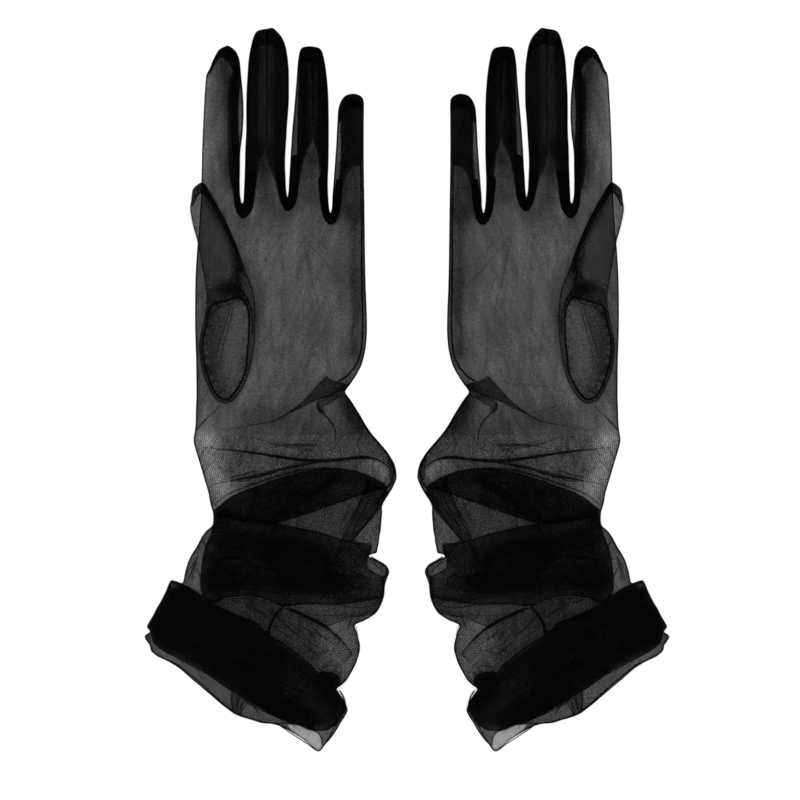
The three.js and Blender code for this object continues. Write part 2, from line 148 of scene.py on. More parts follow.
def noise(p, scale, seed=0, stretch=(1.0, 1.0), n=9):
    """A smooth random field of about unit size; scale is its usual wavelength in mm."""
    v = np.zeros(len(p))
    for k in range(n):
        w = _waves[(k * 7 + seed * 11) % 64]
        f = 2 * math.pi / scale * (0.55 + 0.13 * k)
        d = w / max(np.linalg.norm(w), 1e-6)
        v += np.sin(f * (p[:, 0] * d[0] * stretch[0] + p[:, 1] * d[1] * stretch[1]) + _phase[(k * 5 + seed * 3) % 64])
    return v / math.sqrt(n / 2.0) * 0.6


SIL = smooth_line(OUTLINE, 1.0, closed=True)
THUMB_L = smooth_line(THUMB, 1.2, closed=True)
OVAL_L = smooth_line(OVAL, 1.2, closed=True)
TOP_CUT_L = smooth_line(TOP_CUT, 1.2, closed=True)


def tri_patch(poly, spacing, clip=(), holes=(), cuts=(), rings=(0.35, 0.9, 1.8)):
    """Triangles that fill poly within each clip outline, outside each hole, with edges along every line."""
    lines = [poly, *clip, *holes]
    pts, edges = [], []
    for l in lines:
        s = len(pts)
        pts += [tuple(q) for q in l]
        edges += [(s + i, s + (i + 1) % len(l)) for i in range(len(l))]
    for l in cuts:
        s = len(pts)
        pts += [tuple(q) for q in l]
        edges += [(s + i, s + i + 1) for i in range(len(l) - 1)]
    lo, hi = poly.min(0), poly.max(0)
    dx, dy = spacing, spacing * 0.866
    gy = np.arange(lo[1], hi[1] + dy, dy)
    grid = []
    for i, y in enumerate(gy):
        gx = np.arange(lo[0] + (dx / 2 if i % 2 else 0), hi[0] + dx, dx)
        grid.append(np.stack([gx, np.full(len(gx), y)], 1))
    grid = np.concatenate(grid)
    ok = inside(grid, poly)
    for c in clip:
        ok &= inside(grid, c)
    for h in holes:
        ok &= ~inside(grid, h)
    grid = grid[ok]
    near = np.full(len(grid), 1e9)
    for l in lines:
        near = np.minimum(near, dist_to(grid, l))
    for l in cuts:
        near = np.minimum(near, dist_to(grid, l, closed=False))
    far_ring = rings[-1] if rings else 0.0
    grid = grid[near > far_ring + 0.45 * spacing]
    extra = []
    for r in rings:
        for l in lines:
            # points at distance r inside, from the line's own normals
            t = np.roll(l, -1, 0) - np.roll(l, 1, 0)
            nrm = np.stack([-t[:, 1], t[:, 0]], 1) / np.maximum(np.linalg.norm(t, axis=1), 1e-9)[:, None]
            for s in (r, -r):
                q = l + nrm * s
                k = inside(q, poly)
                for c in clip:
                    k &= inside(q, c)
                for h in holes:
                    k &= ~inside(q, h)
                q = q[k]
                if len(q):
                    d = np.full(len(q), 1e9)
                    for m in lines:
                        d = np.minimum(d, dist_to(q, m))
                    for m in cuts:
                        dc = dist_to(q, m, closed=False)
                        d = np.where(dc < 0.5, 0, d)
                    q = q[d > r * 0.96]
                    extra.append(q)
    if extra:
        e = np.concatenate(extra)
        # thin out points that crowd each other
        key = np.round(e / (0.45 * min(1.0, spacing))).astype(int)
        _, first = np.unique(key, axis=0, return_index=True)
        e = e[np.sort(first)]
        grid = np.concatenate([grid, e])
    pts += [tuple(q) for q in grid]
    v, _, f, *_ = delaunay_2d_cdt([Vector(q) for q in pts], edges, [], 0, 1e-5, False)
    v = np.array([(q.x, q.y) for q in v])
    f = np.array([t for t in f if len(t) == 3], int)
    c = v[f].mean(1)
    ok = inside(c, poly)
    for k in clip:
        ok &= inside(c, k)
    for h in holes:
        ok &= ~inside(c, h)
    f = f[ok]
    a, b, d = v[f[:, 0]], v[f[:, 1]], v[f[:, 2]]
    area = (b[:, 0] - a[:, 0]) * (d[:, 1] - a[:, 1]) - (b[:, 1] - a[:, 1]) * (d[:, 0] - a[:, 0])
    f = f[np.abs(area) > 1e-7]
    area = area[np.abs(area) > 1e-7]
    f[area < 0] = f[area < 0][:, ::-1]
    used, inv = np.unique(f, return_inverse=True)
    return v[used], inv.reshape(-1, 3)


# ------------------------------------------------------------------ height fields of the two base layers
CROWN_Y = arr([[200, 2.4], [160, 2.6], [110, 3.0], [85, 3.6], [40, 4.2], [0, 4.6], [-25, 5.6], [-50, 7.0], [-75, 8.4], [-100, 9.5], [-130, 9.0], [-160, 6.0], [-175, 3.0]])
EDGE_Z = 0.9


def crown(y):
    t = CROWN_Y[::-1]
    return np.interp(y, t[:, 0], t[:, 1])


def z_top(p):
    d = dist_to(p, SIL)
    y = p[:, 1]
    low = step01((-y - 5) / 50)
    wav = 0.25 + 0.9 * low
    z = EDGE_Z + 0.9 * prof(d / 0.8) + crown(y) * (1 - np.exp(-d / 6.5))
    n = noise(p, 26, 1, (1.0, 1.3)) * 0.7 + noise(p, 11, 2, (1.2, 0.7)) * 0.28 + noise(p, 5.5, 5, (1.0, 0.6)) * 0.09
    z += wav * n * (1 - np.exp(-d / 5.0)) * 0.8
    # soft folds across the arm
    along = (p - np.array([-60.0, -20.0])) @ np.array([-0.25, -0.97])
    z += low * 0.9 * np.sin(along * 0.42 + 0.8 * noise(p, 60, 4)) * (1 - np.exp(-d / 6.0))
    return np.maximum(z, EDGE_Z * 0.9)


def z_bot(p):
    d = dist_to(p, SIL)
    z = EDGE_Z - 0.72 * prof(d / 0.8)
    z += 0.22 * (0.5 + 0.5 * np.clip(noise(p, 17, 9), -1, 1)) * (1 - np.exp(-d / 3.0))
    return z


_fields = [z_top]


def field_over(poly, base, height, edge, seed, gap=0.25, wave=0.5):
    """The heights of a fold of fabric that lies on base inside poly: its lower and upper layer."""

    def lower(p):
        return base(p) + gap + 0.12 * np.clip(noise(p, 9, seed), -1, 1)

    def upper(p):
        d = dist_to(p, poly)
        n = noise(p, 13, seed + 3, (0.6, 1.3)) * wave + noise(p, 5, seed + 5, (0.5, 1.4)) * wave * 0.35
        return base(p) + gap + 0.15 + height * 0.45 * prof(d / edge) + height * 0.55 * (1 - np.exp(-d / (2.5 * edge))) + n * (1 - np.exp(-d / (2 * edge)))

    def over(p):
        k = inside(p, poly)
        z = base(p)
        if k.any():
            z[k] = upper(p[k])
        return z

    return lower, upper, over


class Fabric:
    """Triangles with a fabric coordinate and a density, gathered into named pieces."""

    def __init__(self):
        self.v, self.f, self.uv, self.den, self.n = [], [], [], [], 0

    def add(self, v, f, uv, den, flip=False):
        self.v.append(v)
        self.f.append((f[:, ::-1] if flip else f) + self.n)
        self.uv.append(uv)
        self.den.append(den)
        self.n += len(v)

    def arrays(self):
        return np.concatenate(self.v), np.concatenate(self.f), np.concatenate(self.uv), np.concatenate(self.den)


PIECES = {}


def piece(name):
    return PIECES.setdefault(name, Fabric())


def slopes(v, f):
    a, b, c = v[f[:, 0]], v[f[:, 1]], v[f[:, 2]]
    n = np.cross(b - a, c - a)
    acc = np.zeros_like(v)
    for k in range(3):
        np.add.at(acc, f[:, k], n)
    L = np.maximum(np.linalg.norm(acc, axis=1), 1e-12)
    return np.abs(acc[:, 2]) / L


def fabric_uv(p, turn=0.0, scale=1.0, shift=(0.0, 0.0), warp=0.0, seed=0):
    c, s = math.cos(math.radians(turn)), math.sin(math.radians(turn))
    q = np.stack([p[:, 0] * c - p[:, 1] * s, p[:, 0] * s + p[:, 1] * c], 1) * scale + np.array(shift)
    if warp:
        q = q + warp * np.stack([noise(p, 38, seed + 1), noise(p, 45, seed + 2)], 1)
    return q


def put(target, p, f, z, den=1.0, slope_cap=3.0, flip=False, edge_lines=(), edge_gain=0.9, edge_w=0.35, uv=None, select=None):
    """Adds a layer to a piece, or to the pieces that select gives for its triangles."""
    v = np.column_stack([p, z])
    m = np.clip(1.0 / np.maximum(slopes(v, f), 0.2), 1, slope_cap)
    den = np.broadcast_to(np.asarray(den, float), (len(p),)) * m
    for l, closed in edge_lines:
        den = den * (1 + edge_gain * np.exp(-((dist_to(p, l, closed) / edge_w) ** 2)))
    if uv is None:
        uv = fabric_uv(p)
    if select is None:
        groups = {target: np.ones(len(f), bool)}
    else:
        names = select(p[f].mean(1))
        groups = {n: names == n for n in set(names)}
    for n, k in groups.items():
        if not n or not k.any():
            continue
        used, inv = np.unique(f[k], return_inverse=True)
        piece(n).add(v[used], inv.reshape(-1, 3), uv[used], den[used], flip)


def who(c):
    """Which base piece a point belongs to."""
    names = np.full(len(c), "hand_panels", dtype=object)
    for fn, (x0, x1) in FINGER_X.items():
        names[(c[:, 0] > x0) & (c[:, 0] <= x1) & (c[:, 1] > CUT[fn])] = fn + "_panels"
    names[c[:, 1] < WRIST_CUT] = "sleeve_fabric"
    past = (c - CUFF_A) @ CUFF_DIR
    names[(past > 0) & (c[:, 1] < -60)] = "cuff_fabric"
    return names


CUT_LINES = []
# the upper edge of the long lens fold, where a painted highlight is drawn; the cut lines beside it keep mesh edges
# there
LENS_EDGE_LINE = smooth_line([(-92.64, -56.88), (-89.04, -53.52), (-84.72, -50.88), (-78.96, -48.72), (-72.72, -46.56), (-65.52, -43.68), (-58.80, -41.42), (-52.56, -39.60), (-46.80, -38.16), (-38.64, -36.48)], 0.9)
_t = np.gradient(LENS_EDGE_LINE, axis=0)
_n = np.stack([-_t[:, 1], _t[:, 0]], 1) / np.linalg.norm(_t, axis=1)[:, None]
LENS_EDGE_CUTS = [LENS_EDGE_LINE + _n * k for k in (-0.45, 0.0, 0.45)]
for fn, (x0, x1) in FINGER_X.items():
    a = max(x0, {"index": -99.12, "middle": -77.81, "ring": -56.40, "little": -35.47}[fn])
    b = {"index": -80.30, "middle": -58.61, "ring": -38.06, "little": -20.69}[fn]
    CUT_LINES.append(np.array([[x, CUT[fn]] for x in np.linspace(a - 0.4, b + 0.4, 16)]))
CUT_LINES.append(np.array([[x, WRIST_CUT] for x in np.linspace(-102.48, -13.68, 60)]))
CUT_LINES.append(np.array([CUFF_A + (CUFF_B - CUFF_A) * t for t in np.linspace(-0.06, 1.08, 70)]))

# ------------------------------------------------------------------ the two base layers of the whole glove
STROKES = [  # darker (+) and lighter (-) passages of the palm side: line, width in mm, gain
    ([(-31.92, -1.20), (-29.04, -6.00), (-25.68, -12.72), (-22.32, -18.48)], 3.4, 0.95),
    ([(-29.04, -8.88), (-24.24, -17.52), (-20.40, -24.24)], 5.5, 0.3),
    ([(-16.56, -34.80), (-13.68, -36.72), (-10.80, -39.60)], 2.4, -0.6),
    ([(-8.40, -33.36), (-7.44, -38.64), (-7.92, -44.40)], 1.6, 0.8),
    ([(-75.12, -44.88), (-55.92, -39.12), (-36.72, -35.76), (-24.24, -35.76)], 2.4, 0.36),
    ([(-42.48, 1.68), (-36.72, 2.64), (-30.96, 0.72)], 3.0, 0.1),
    ([(-96.72, -24.24), (-95.28, -31.44), (-92.88, -39.60), (-89.52, -46.32)], 7.0, -0.74),
    ([(-97.20, -11.76), (-92.40, -13.68), (-87.60, -14.64)], 5.0, -0.2),
    ([(-35.28, 1.68), (-31.92, 0.24)], 2.4, -0.55),
    ([(-118.32, -125.04), (-109.68, -130.32), (-101.04, -135.60)], 3.0, -0.25),
    ([(-102.96, -78.00), (-101.04, -85.68), (-100.56, -91.44)], 4.0, -0.2),
    ([(-55.92, -114.48), (-51.12, -118.32)], 6.0, -0.2),
    ([(-97.68, -7.44), (-96.24, -13.68), (-97.20, -20.40)], 6.0, -0.22),
    ([(-103.92, -78.00), (-102.00, -89.04), (-103.92, -97.20)], 7.0, -0.12),
    ([(-70.32, 21.36), (-55.92, 18.00), (-39.12, 21.36)], 9.0, 0.09),
    ([(-53.28, 142.80), (-54.00, 129.36), (-54.96, 114.96), (-55.44, 106.32)], 1.3, 0.3),
    ([(-32.88, -115.44), (-29.52, -125.04), (-31.92, -133.68)], 7.0, -0.18),
    ([(-69.36, -13.68), (-55.92, -16.56), (-43.44, -20.40), (-29.52, -25.20)], 7.0, 0.22),
    ([(-87.12, -38.64), (-69.36, -34.80), (-51.12, -31.92)], 5.0, 0.18),
    ([(-25.20, 80.40), (-24.72, 62.16), (-24.72, 33.36), (-26.16, 18.96)], 3.4, 0.75),
    ([(-28.08, 92.88), (-23.76, 90.96), (-23.28, 84.24)], 5.0, 0.15),
    ([(-99.12, 42.96), (-99.60, 23.76), (-99.12, 4.56)], 2.2, 0.05),
    ([(-97.20, 147.60), (-97.92, 134.16), (-98.40, 114.96), (-98.64, 98.16)], 4.2, -0.52),
    ([(-86.16, 147.60), (-86.26, 129.36), (-86.16, 110.16), (-84.72, 97.68)], 2.6, 0.85),
    ([(-84.72, 162.00), (-87.12, 157.20), (-87.12, 151.44)], 3.4, 1.0),
    ([(-92.40, 162.00), (-89.52, 159.12)], 3.0, 0.4),
    ([(-68.40, 114.96), (-68.40, 104.40), (-68.40, 92.88)], 5.0, 0.62),
    ([(-68.40, 114.96), (-68.40, 106.32)], 3.5, 0.55),
    ([(-46.32, 121.68), (-46.32, 110.16)], 4.0, 0.55),
    ([(-47.28, 114.96), (-47.28, 102.48), (-46.80, 93.84)], 5.0, 0.48),
    ([(-27.12, 105.36), (-27.12, 95.76), (-27.60, 87.12)], 5.6, 0.95),
    ([(-77.04, 61.20), (-72.24, 47.76), (-70.80, 32.40)], 2.6, 0.34),
    ([(-81.84, 88.08), (-78.96, 80.40), (-72.24, 80.40), (-66.48, 87.12)], 3.0, 0.16),
    ([(-61.68, 87.12), (-57.36, 82.80), (-52.08, 87.12)], 3.0, 0.16),
    ([(-51.12, 78.96), (-46.80, 57.36), (-43.92, 33.36), (-42.48, 14.16)], 2.6, 0.12),
    ([(-42.48, 77.52), (-36.72, 61.20), (-30.96, 42.96)], 2.4, 0.10),
]


def paint(p, strokes):
    g = np.ones(len(p))
    for line, w, gain in strokes:
        l = smooth_line(line, 2.0)
        g += gain * np.exp(-((dist_to(p, l, closed=False) / w) ** 2))
    return g


def region_density(p):
    """The knit is stretched over the hand and slack in the arm."""
    y = p[:, 1]
    t = np.interp(-y, [-175, -95, -60, -10, 15, 30, 60, 100, 140, 175], [1.06, 1.05, 0.97, 1.0, 1.12, 1.16, 1.05, 1.0, 1.0, 1.0])
    return t



def lens_edge_painted_highlight(p):
    """A painted highlight: a lighter line along the upper edge of the long lens, where the palm side's density is
    lowered, fading towards the little-finger end.
    """
    s = np.clip((p[:, 0] - LENS_EDGE_LINE[0, 0]) / (LENS_EDGE_LINE[-1, 0] - LENS_EDGE_LINE[0, 0]), 0, 1)
    return 0.75 * np.exp(-((dist_to(p, LENS_EDGE_LINE, False) / 0.3) ** 2)) * np.clip(1.35 - 1.1 * s, 0, 1)


def under_thumb(p):
    """The palm is pulled thin where the thumb lies over it."""
    return np.where(inside(p, THUMB_L), 1 - 0.42 * step01(dist_to(p, THUMB_L) / 1.0), 1.0)


p, f = tri_patch(SIL, 1.9, holes=(), clip=(), cuts=CUT_LINES)
put(None, p, f, z_bot(p), den=region_density(p), flip=True, edge_lines=[(SIL, True)], edge_gain=1.3,
    uv=fabric_uv(p, 27, 1.04, (3.1, 1.7), 1.1, 20), select=who)
# the palm side, lightened along the lens edge by a painted highlight
p, f = tri_patch(SIL, 1.5, holes=(OVAL_L, TOP_CUT_L), cuts=CUT_LINES + LENS_EDGE_CUTS)
put(None, p, f, z_top(p), den=region_density(p) * np.maximum(paint(p, STROKES), 0.1) * (1 - lens_edge_painted_highlight(p)) * under_thumb(p), edge_lines=[(SIL, True)], edge_gain=1.3,
    uv=fabric_uv(p, -1.5, 1.0, (0.0, 0.0), 1.4, 3), select=who)


# ------------------------------------------------------------------ layers inside the fingers: gussets, forks, tips
def between(name, poly, f0, f1, den=1.0, spacing=1.6, double=True, select=None, edge=1.0, seed=0, edge_gain=0.5, soft=0.0):
    l = smooth_line(poly, 0.7, closed=True)
    # the stitches pull the margin in a little at every hole
    t = np.roll(l, -1, 0) - np.roll(l, 1, 0)
    s = np.cumsum(np.linalg.norm(t, axis=1) / 2)
    nrm = np.stack([-t[:, 1], t[:, 0]], 1) / np.maximum(np.linalg.norm(t, axis=1), 1e-9)[:, None]
    l = l + nrm * (0.17 * np.sin(s * 2 * math.pi / 2.1 + seed) + 0.10 * noise(l, 3.1, 60 + seed))[:, None]
    p, f = tri_patch(l, spacing, clip=(SIL,), cuts=CUT_LINES[:4] if select else (), rings=(0.4, 1.0))
    if not len(f):
        return
    zt, zb = z_top(p), z_bot(p)
    room = np.maximum(zt - zb, 0.0)
    d = dist_to(p, l)
    mid = (f0 + f1) / 2
    k = prof(d / edge)
    if soft:
        den = den * (0.35 + 0.65 * step01(d / soft))
    top = zb + room * (mid + (f1 - mid) * k)
    put(name, p, f, top, den=den, select=select, edge_lines=[(l, True)], edge_gain=edge_gain, uv=fabric_uv(p, 12 + seed * 7, 1.02, (seed * 1.3, seed * 0.7), 0.6, seed))
    if double:
        low = zb + room * (mid - (mid - f0) * k)
        put(name, p, f, low, den=den, flip=True, select=select, edge_lines=[(l, True)], edge_gain=edge_gain, uv=fabric_uv(p, -9 - seed * 5, 0.99, (seed * 0.9, seed * 1.9), 0.6, seed + 4))


def split(finger, above, below):
    """Names for a layer that runs from the hand into a finger."""

    def s(c):
        names = np.full(len(c), below, dtype=object)
        names[c[:, 1] > CUT[finger]] = above
        return names

    return s


GUSSETS = [
    ("index", "index_gusset", "index_middle_fork_fabric", [(-80.88, 157.20), (-83.28, 153.36), (-85.20, 148.56), (-86.02, 141.36), (-86.16, 129.36), (-86.16, 117.36), (-85.78, 107.76), (-84.96, 100.56), (-83.76, 94.80), (-82.80, 89.52), (-81.36, 85.20), (-78.48, 85.20), (-78.00, 93.36), (-79.20, 98.16), (-79.68, 107.76), (-80.54, 117.36), (-81.07, 126.96), (-80.88, 138.96), (-80.11, 148.56)], 1.15),
    ("middle", "middle_gusset_index_side", "index_middle_fork_fabric", [(-66.96, 165.84), (-72.24, 164.88), (-76.08, 160.08), (-78.00, 143.76), (-78.96, 110.16), (-78.96, 88.56), (-75.12, 88.08), (-73.68, 93.36), (-72.72, 98.64), (-71.52, 104.40), (-70.32, 110.16), (-68.40, 114.00), (-66.96, 119.76), (-66.67, 134.16), (-66.67, 153.36)], 0.85),
    ("middle", "middle_gusset_ring_side", "middle_ring_fork_fabric", [(-67.92, 165.84), (-62.64, 165.84), (-57.84, 161.04), (-55.44, 143.76), (-56.40, 110.16), (-56.88, 88.56), (-59.76, 88.08), (-61.20, 90.96), (-62.16, 95.76), (-64.08, 101.52), (-66.00, 106.32), (-67.44, 110.64), (-67.92, 115.92), (-67.73, 134.16), (-67.73, 153.36)], 0.85),
    ("ring", "ring_gusset_middle_side", "middle_ring_fork_fabric", [(-44.88, 162.96), (-49.68, 162.00), (-51.60, 158.16), (-51.94, 148.56), (-52.18, 134.16), (-52.56, 119.76), (-52.90, 107.76), (-53.28, 100.56), (-54.96, 95.76), (-57.84, 88.56), (-54.00, 88.08), (-52.56, 92.88), (-51.84, 100.56), (-50.16, 108.24), (-47.76, 114.96), (-45.36, 119.76), (-44.40, 134.16), (-44.40, 148.56)], 1.2),
    ("ring", "ring_gusset_little_side", "ring_little_fork_fabric", [(-45.84, 162.96), (-41.52, 162.96), (-38.16, 157.20), (-35.76, 138.96), (-35.76, 114.96), (-36.24, 95.76), (-36.72, 83.28), (-40.56, 84.24), (-40.80, 91.92), (-41.52, 100.56), (-42.00, 107.28), (-42.96, 113.04), (-44.88, 119.76), (-45.60, 138.96)], 1.2),
    ("little", "little_gusset", "ring_little_fork_fabric", [(-29.52, 138.96), (-31.68, 134.16), (-31.97, 124.56), (-31.92, 114.96), (-32.21, 107.76), (-32.69, 102.48), (-33.84, 97.68), (-34.80, 90.96), (-36.24, 83.76), (-32.88, 84.24), (-31.44, 90.96), (-30.77, 96.72), (-29.04, 102.48), (-26.16, 106.80), (-21.84, 108.24), (-21.60, 119.76), (-21.84, 133.20), (-24.72, 138.48)], 1.15),
]
for i, (finger, above, below, poly, den) in enumerate(GUSSETS):
    between(None, poly, 0.36, 0.62, den=den, select=split(finger, above, below), seed=i, edge=1.2, soft=1.8)

# seam allowances that run inside the sides of the middle and ring fingers, and inside the index finger
ALLOWANCES = [
    ("middle", "middle_gusset_index_side", "index_middle_fork_fabric", [(-72.24, 167.76), (-75.60, 163.92), (-78.00, 143.76), (-78.96, 110.16), (-79.44, 90.96), (-75.12, 89.52), (-73.20, 96.72), (-71.52, 107.76), (-71.28, 129.36), (-71.04, 148.56), (-70.32, 162.00)], 0.85),
    ("middle", "middle_gusset_ring_side", "middle_ring_fork_fabric", [(-62.64, 168.72), (-57.36, 162.00), (-55.44, 143.76), (-56.88, 110.16), (-56.88, 90.96), (-60.24, 90.96), (-62.16, 97.68), (-63.60, 110.16), (-63.84, 129.36), (-63.84, 148.56), (-64.08, 162.00)], 0.85),
    ("ring", "ring_gusset_middle_side", "middle_ring_fork_fabric", [(-47.28, 162.96), (-51.12, 162.00), (-51.84, 153.36), (-52.08, 138.96), (-52.56, 119.76), (-53.04, 102.96), (-55.92, 94.80), (-56.40, 89.04), (-53.04, 92.88), (-50.64, 102.48), (-49.20, 114.96), (-48.48, 134.16), (-47.76, 150.96)], 0.8),
    ("ring", "ring_gusset_little_side", "ring_little_fork_fabric", [(-42.48, 162.96), (-39.12, 160.08), (-36.24, 143.76), (-36.24, 114.96), (-36.72, 90.96), (-40.56, 88.56), (-42.00, 100.56), (-42.72, 114.96), (-42.72, 134.16), (-42.96, 150.96)], 0.9),
    ("index", "index_gusset", "index_middle_fork_fabric", [(-81.36, 159.12), (-83.28, 155.28), (-84.24, 148.56), (-84.48, 138.96), (-84.48, 119.76), (-84.00, 105.36), (-83.28, 96.72), (-81.84, 89.04), (-78.48, 89.04), (-79.44, 100.56), (-80.16, 110.16), (-81.07, 119.76), (-81.36, 134.16), (-80.40, 148.56)], 1.0),
]
for i, (finger, above, below, poly, den) in enumerate(ALLOWANCES):
    if above.endswith("dummy"):
        above = "little_gusset"
    between(None, poly, 0.74, 0.86, den=den, select=split(finger, above, below), seed=i + 7, double=False, edge=1.2, soft=1.0)

# forks: the doubled band round the bottom of each gap between two fingers
FORKS = [
    ("index_middle_fork_fabric", [(-82.80, 98.64), (-83.04, 92.88), (-82.80, 88.56), (-81.84, 85.44), (-80.40, 83.28), (-78.96, 82.08), (-77.04, 82.80), (-75.36, 84.72), (-73.92, 87.60), (-73.20, 91.44), (-72.72, 95.76), (-72.24, 100.08), (-72.00, 103.92), (-77.04, 106.32), (-78.48, 99.60), (-79.92, 98.64), (-81.36, 100.56)], 1.35),
    ("middle_ring_fork_fabric", [(-62.64, 104.40), (-62.16, 97.68), (-60.96, 91.92), (-59.76, 88.08), (-58.56, 86.16), (-57.36, 85.44), (-55.44, 86.40), (-54.00, 88.56), (-52.66, 92.40), (-52.08, 97.68), (-51.79, 102.48), (-51.79, 108.24), (-52.08, 112.08), (-54.96, 112.08), (-56.88, 104.40), (-57.36, 99.60), (-57.84, 104.40)], 1.35),
    ("ring_little_fork_fabric", [(-42.48, 101.52), (-42.00, 93.36), (-41.28, 87.12), (-40.08, 82.80), (-38.64, 80.40), (-36.72, 79.20), (-34.56, 79.92), (-33.12, 82.32), (-32.16, 85.68), (-31.44, 89.52), (-31.15, 93.36), (-31.44, 97.68), (-31.63, 100.56), (-33.84, 100.56), (-34.80, 95.76), (-36.24, 90.96), (-37.68, 101.52)], 1.35),
]
for i, (name, poly, den) in enumerate(FORKS):
    between(name, poly, 0.16, 0.90, den=den, seed=i + 14, edge=0.9, edge_gain=1.0)

TIPS = [
    ("index_gusset", [(-91.44, 163.44), (-88.56, 165.84), (-85.68, 166.32), (-82.80, 164.88), (-80.88, 161.04), (-79.44, 155.28), (-79.44, 149.52), (-82.80, 150.48), (-84.24, 154.32), (-86.64, 158.16), (-89.52, 159.12), (-92.40, 155.76), (-94.32, 151.92), (-95.76, 152.40), (-94.32, 157.20)], 1.3),
    ("middle_gusset_index_side", [(-76.56, 157.20), (-75.60, 165.36), (-73.20, 170.64), (-69.36, 173.52), (-66.48, 174.00), (-66.48, 165.84), (-70.32, 164.88), (-73.20, 162.00), (-75.12, 156.24)], 1.3),
    ("middle_gusset_ring_side", [(-67.44, 174.00), (-63.60, 174.48), (-59.76, 169.68), (-57.36, 162.96), (-55.92, 155.28), (-58.32, 158.16), (-61.20, 162.96), (-64.56, 165.36), (-67.44, 165.84)], 1.3),
    ("ring_gusset_middle_side", [(-52.56, 153.36), (-52.08, 162.00), (-50.16, 165.36), (-45.84, 165.84), (-45.84, 158.16), (-49.68, 156.72)], 1.2),
    ("ring_gusset_little_side", [(-46.80, 165.84), (-42.00, 165.36), (-39.12, 160.08), (-37.68, 151.44), (-41.52, 155.28), (-46.80, 158.16)], 1.2),
    ("little_gusset", [(-33.84, 127.44), (-32.88, 135.12), (-31.44, 139.92), (-28.08, 142.80), (-23.28, 142.80), (-19.92, 138.96), (-20.40, 132.24), (-23.76, 135.12), (-27.12, 135.12), (-30.00, 133.20), (-31.63, 128.88)], 1.3),
]
for i, (name, poly, den) in enumerate(TIPS):
    between(name, poly, 0.12, 0.92, den=den * 1.1, seed=i + 18, edge=0.9, edge_gain=0.4, soft=1.7)

# ------------------------------------------------------------------ folds that lie on the arm and wrist
STACK = [z_top]


def fold(name, poly, height, edge=1.6, den=1.0, den_low=None, spacing=2.0, seed=0, double=True, wave=0.5, strokes=(), select=None, keep_in=True, edge_gain=1.6, cap=3.0, shift=0.25, soft=0.0):
    """A fold of the fabric that lies on everything before it, inside the outline."""
    l = smooth_line(poly, 1.3, closed=True)
    p, f = tri_patch(l, spacing, clip=(SIL,) if keep_in else (), cuts=CUT_LINES[4:])
    lower, upper, over = field_over(l, STACK[-1], height, edge, seed, gap=shift, wave=wave)
    g = np.maximum(paint(p, strokes), 0.0) if strokes else np.ones(len(p))
    if soft:
        g = g * (0.04 + 0.96 * step01(dist_to(p, l) / soft))
    zu = upper(p)
    put(name, p, f, zu, den=den * g, edge_lines=[(l, True)], edge_gain=edge_gain, slope_cap=cap, select=select, uv=fabric_uv(p, 17 * (seed % 7) - 40, 1.0 + 0.01 * (seed % 5), (seed * 2.3 + 1000, seed * 1.1), 1.0, seed))
    if double:
        put(name, p, f, lower(p), den=(den if den_low is None else den_low) * g, flip=True, select=select, uv=fabric_uv(p, -13 * (seed % 7) + 25, 1.01, (seed * 1.7 + 1000, seed * 2.9), 1.0, seed + 6))
    STACK.append(over)


def sleeve_or_cuff(c):
    names = np.full(len(c), "sleeve_fabric", dtype=object)
    names[c[:, 1] > WRIST_CUT] = "hand_panels"
    past = (c - CUFF_A) @ CUFF_DIR
    names[(past > 0) & (c[:, 1] < -60)] = "cuff_fabric"
    return names


# the tuck that the wrist makes below the little-finger side of the palm
fold(None, [(-38.64, 6.72), (-42.48, 2.64), (-46.80, -2.16), (-51.60, -6.96), (-56.88, -11.28), (-62.64, -14.40), (-55.92, -11.28), (-49.20, -7.92), (-44.88, -5.76), (-40.56, -4.08), (-35.76, -2.64), (-31.44, -0.72), (-28.80, -0.96), (-27.12, 1.68), (-30.48, 3.12), (-34.80, 4.08), (-37.68, 5.52)], 0.9, 0.8, den=0.62, seed=1, spacing=1.3, wave=0.1, select=sleeve_or_cuff)
fold(None, [(-38.16, 5.52), (-33.84, 4.08), (-29.52, 1.68), (-28.08, -0.24), (-29.52, -2.64), (-32.88, -4.08), (-36.24, -4.56), (-40.56, -5.28), (-39.12, -1.20), (-37.20, 1.68)], 0.9, 0.8, den=0.08, seed=2, spacing=1.3, wave=0.1, select=sleeve_or_cuff)
fold(None, [(-40.56, -3.60), (-35.76, -2.40), (-32.40, -2.64), (-34.32, -5.04), (-37.20, -6.96), (-40.08, -8.16), (-39.60, -11.28), (-42.00, -9.84), (-42.48, -6.96), (-42.00, -4.56)], 0.6, 0.6, den=0.34, seed=17, spacing=1.2, wave=0.1, select=sleeve_or_cuff)
# the long lens of doubled fabric below the curved fold
fold(None, [(-92.40, -58.32), (-88.56, -54.48), (-84.72, -51.60), (-79.92, -48.96), (-72.72, -46.32), (-65.52, -43.68), (-58.80, -41.52), (-51.12, -39.36), (-45.36, -38.16), (-38.64, -37.44), (-31.44, -37.68), (-24.72, -38.88), (-18.48, -41.04), (-13.68, -43.44), (-10.32, -45.60), (-9.84, -47.28), (-13.68, -48.00), (-19.44, -49.68), (-25.68, -51.84), (-31.92, -54.00), (-38.64, -56.16), (-44.88, -58.56), (-50.64, -60.48), (-57.36, -62.64), (-64.08, -64.08), (-71.28, -63.84), (-78.48, -63.12), (-85.68, -61.68), (-90.48, -60.72)], 2.2, 1.5, den=1.22, seed=3, wave=0.35, spacing=1.4, strokes=[([(-64.56, -63.12), (-59.28, -58.80), (-53.04, -54.48), (-45.84, -50.16), (-38.64, -45.36), (-34.32, -42.00)], 1.7, 0.8), ([(-88.56, -59.76), (-82.32, -61.44), (-75.12, -62.16), (-68.40, -62.64)], 1.6, 0.6), ([(-31.92, -48.72), (-26.16, -47.76), (-21.36, -46.80)], 4.0, -0.25), ([(-18.96, -43.44), (-18.48, -46.32), (-18.96, -49.68)], 1.0, 0.7)], select=sleeve_or_cuff)
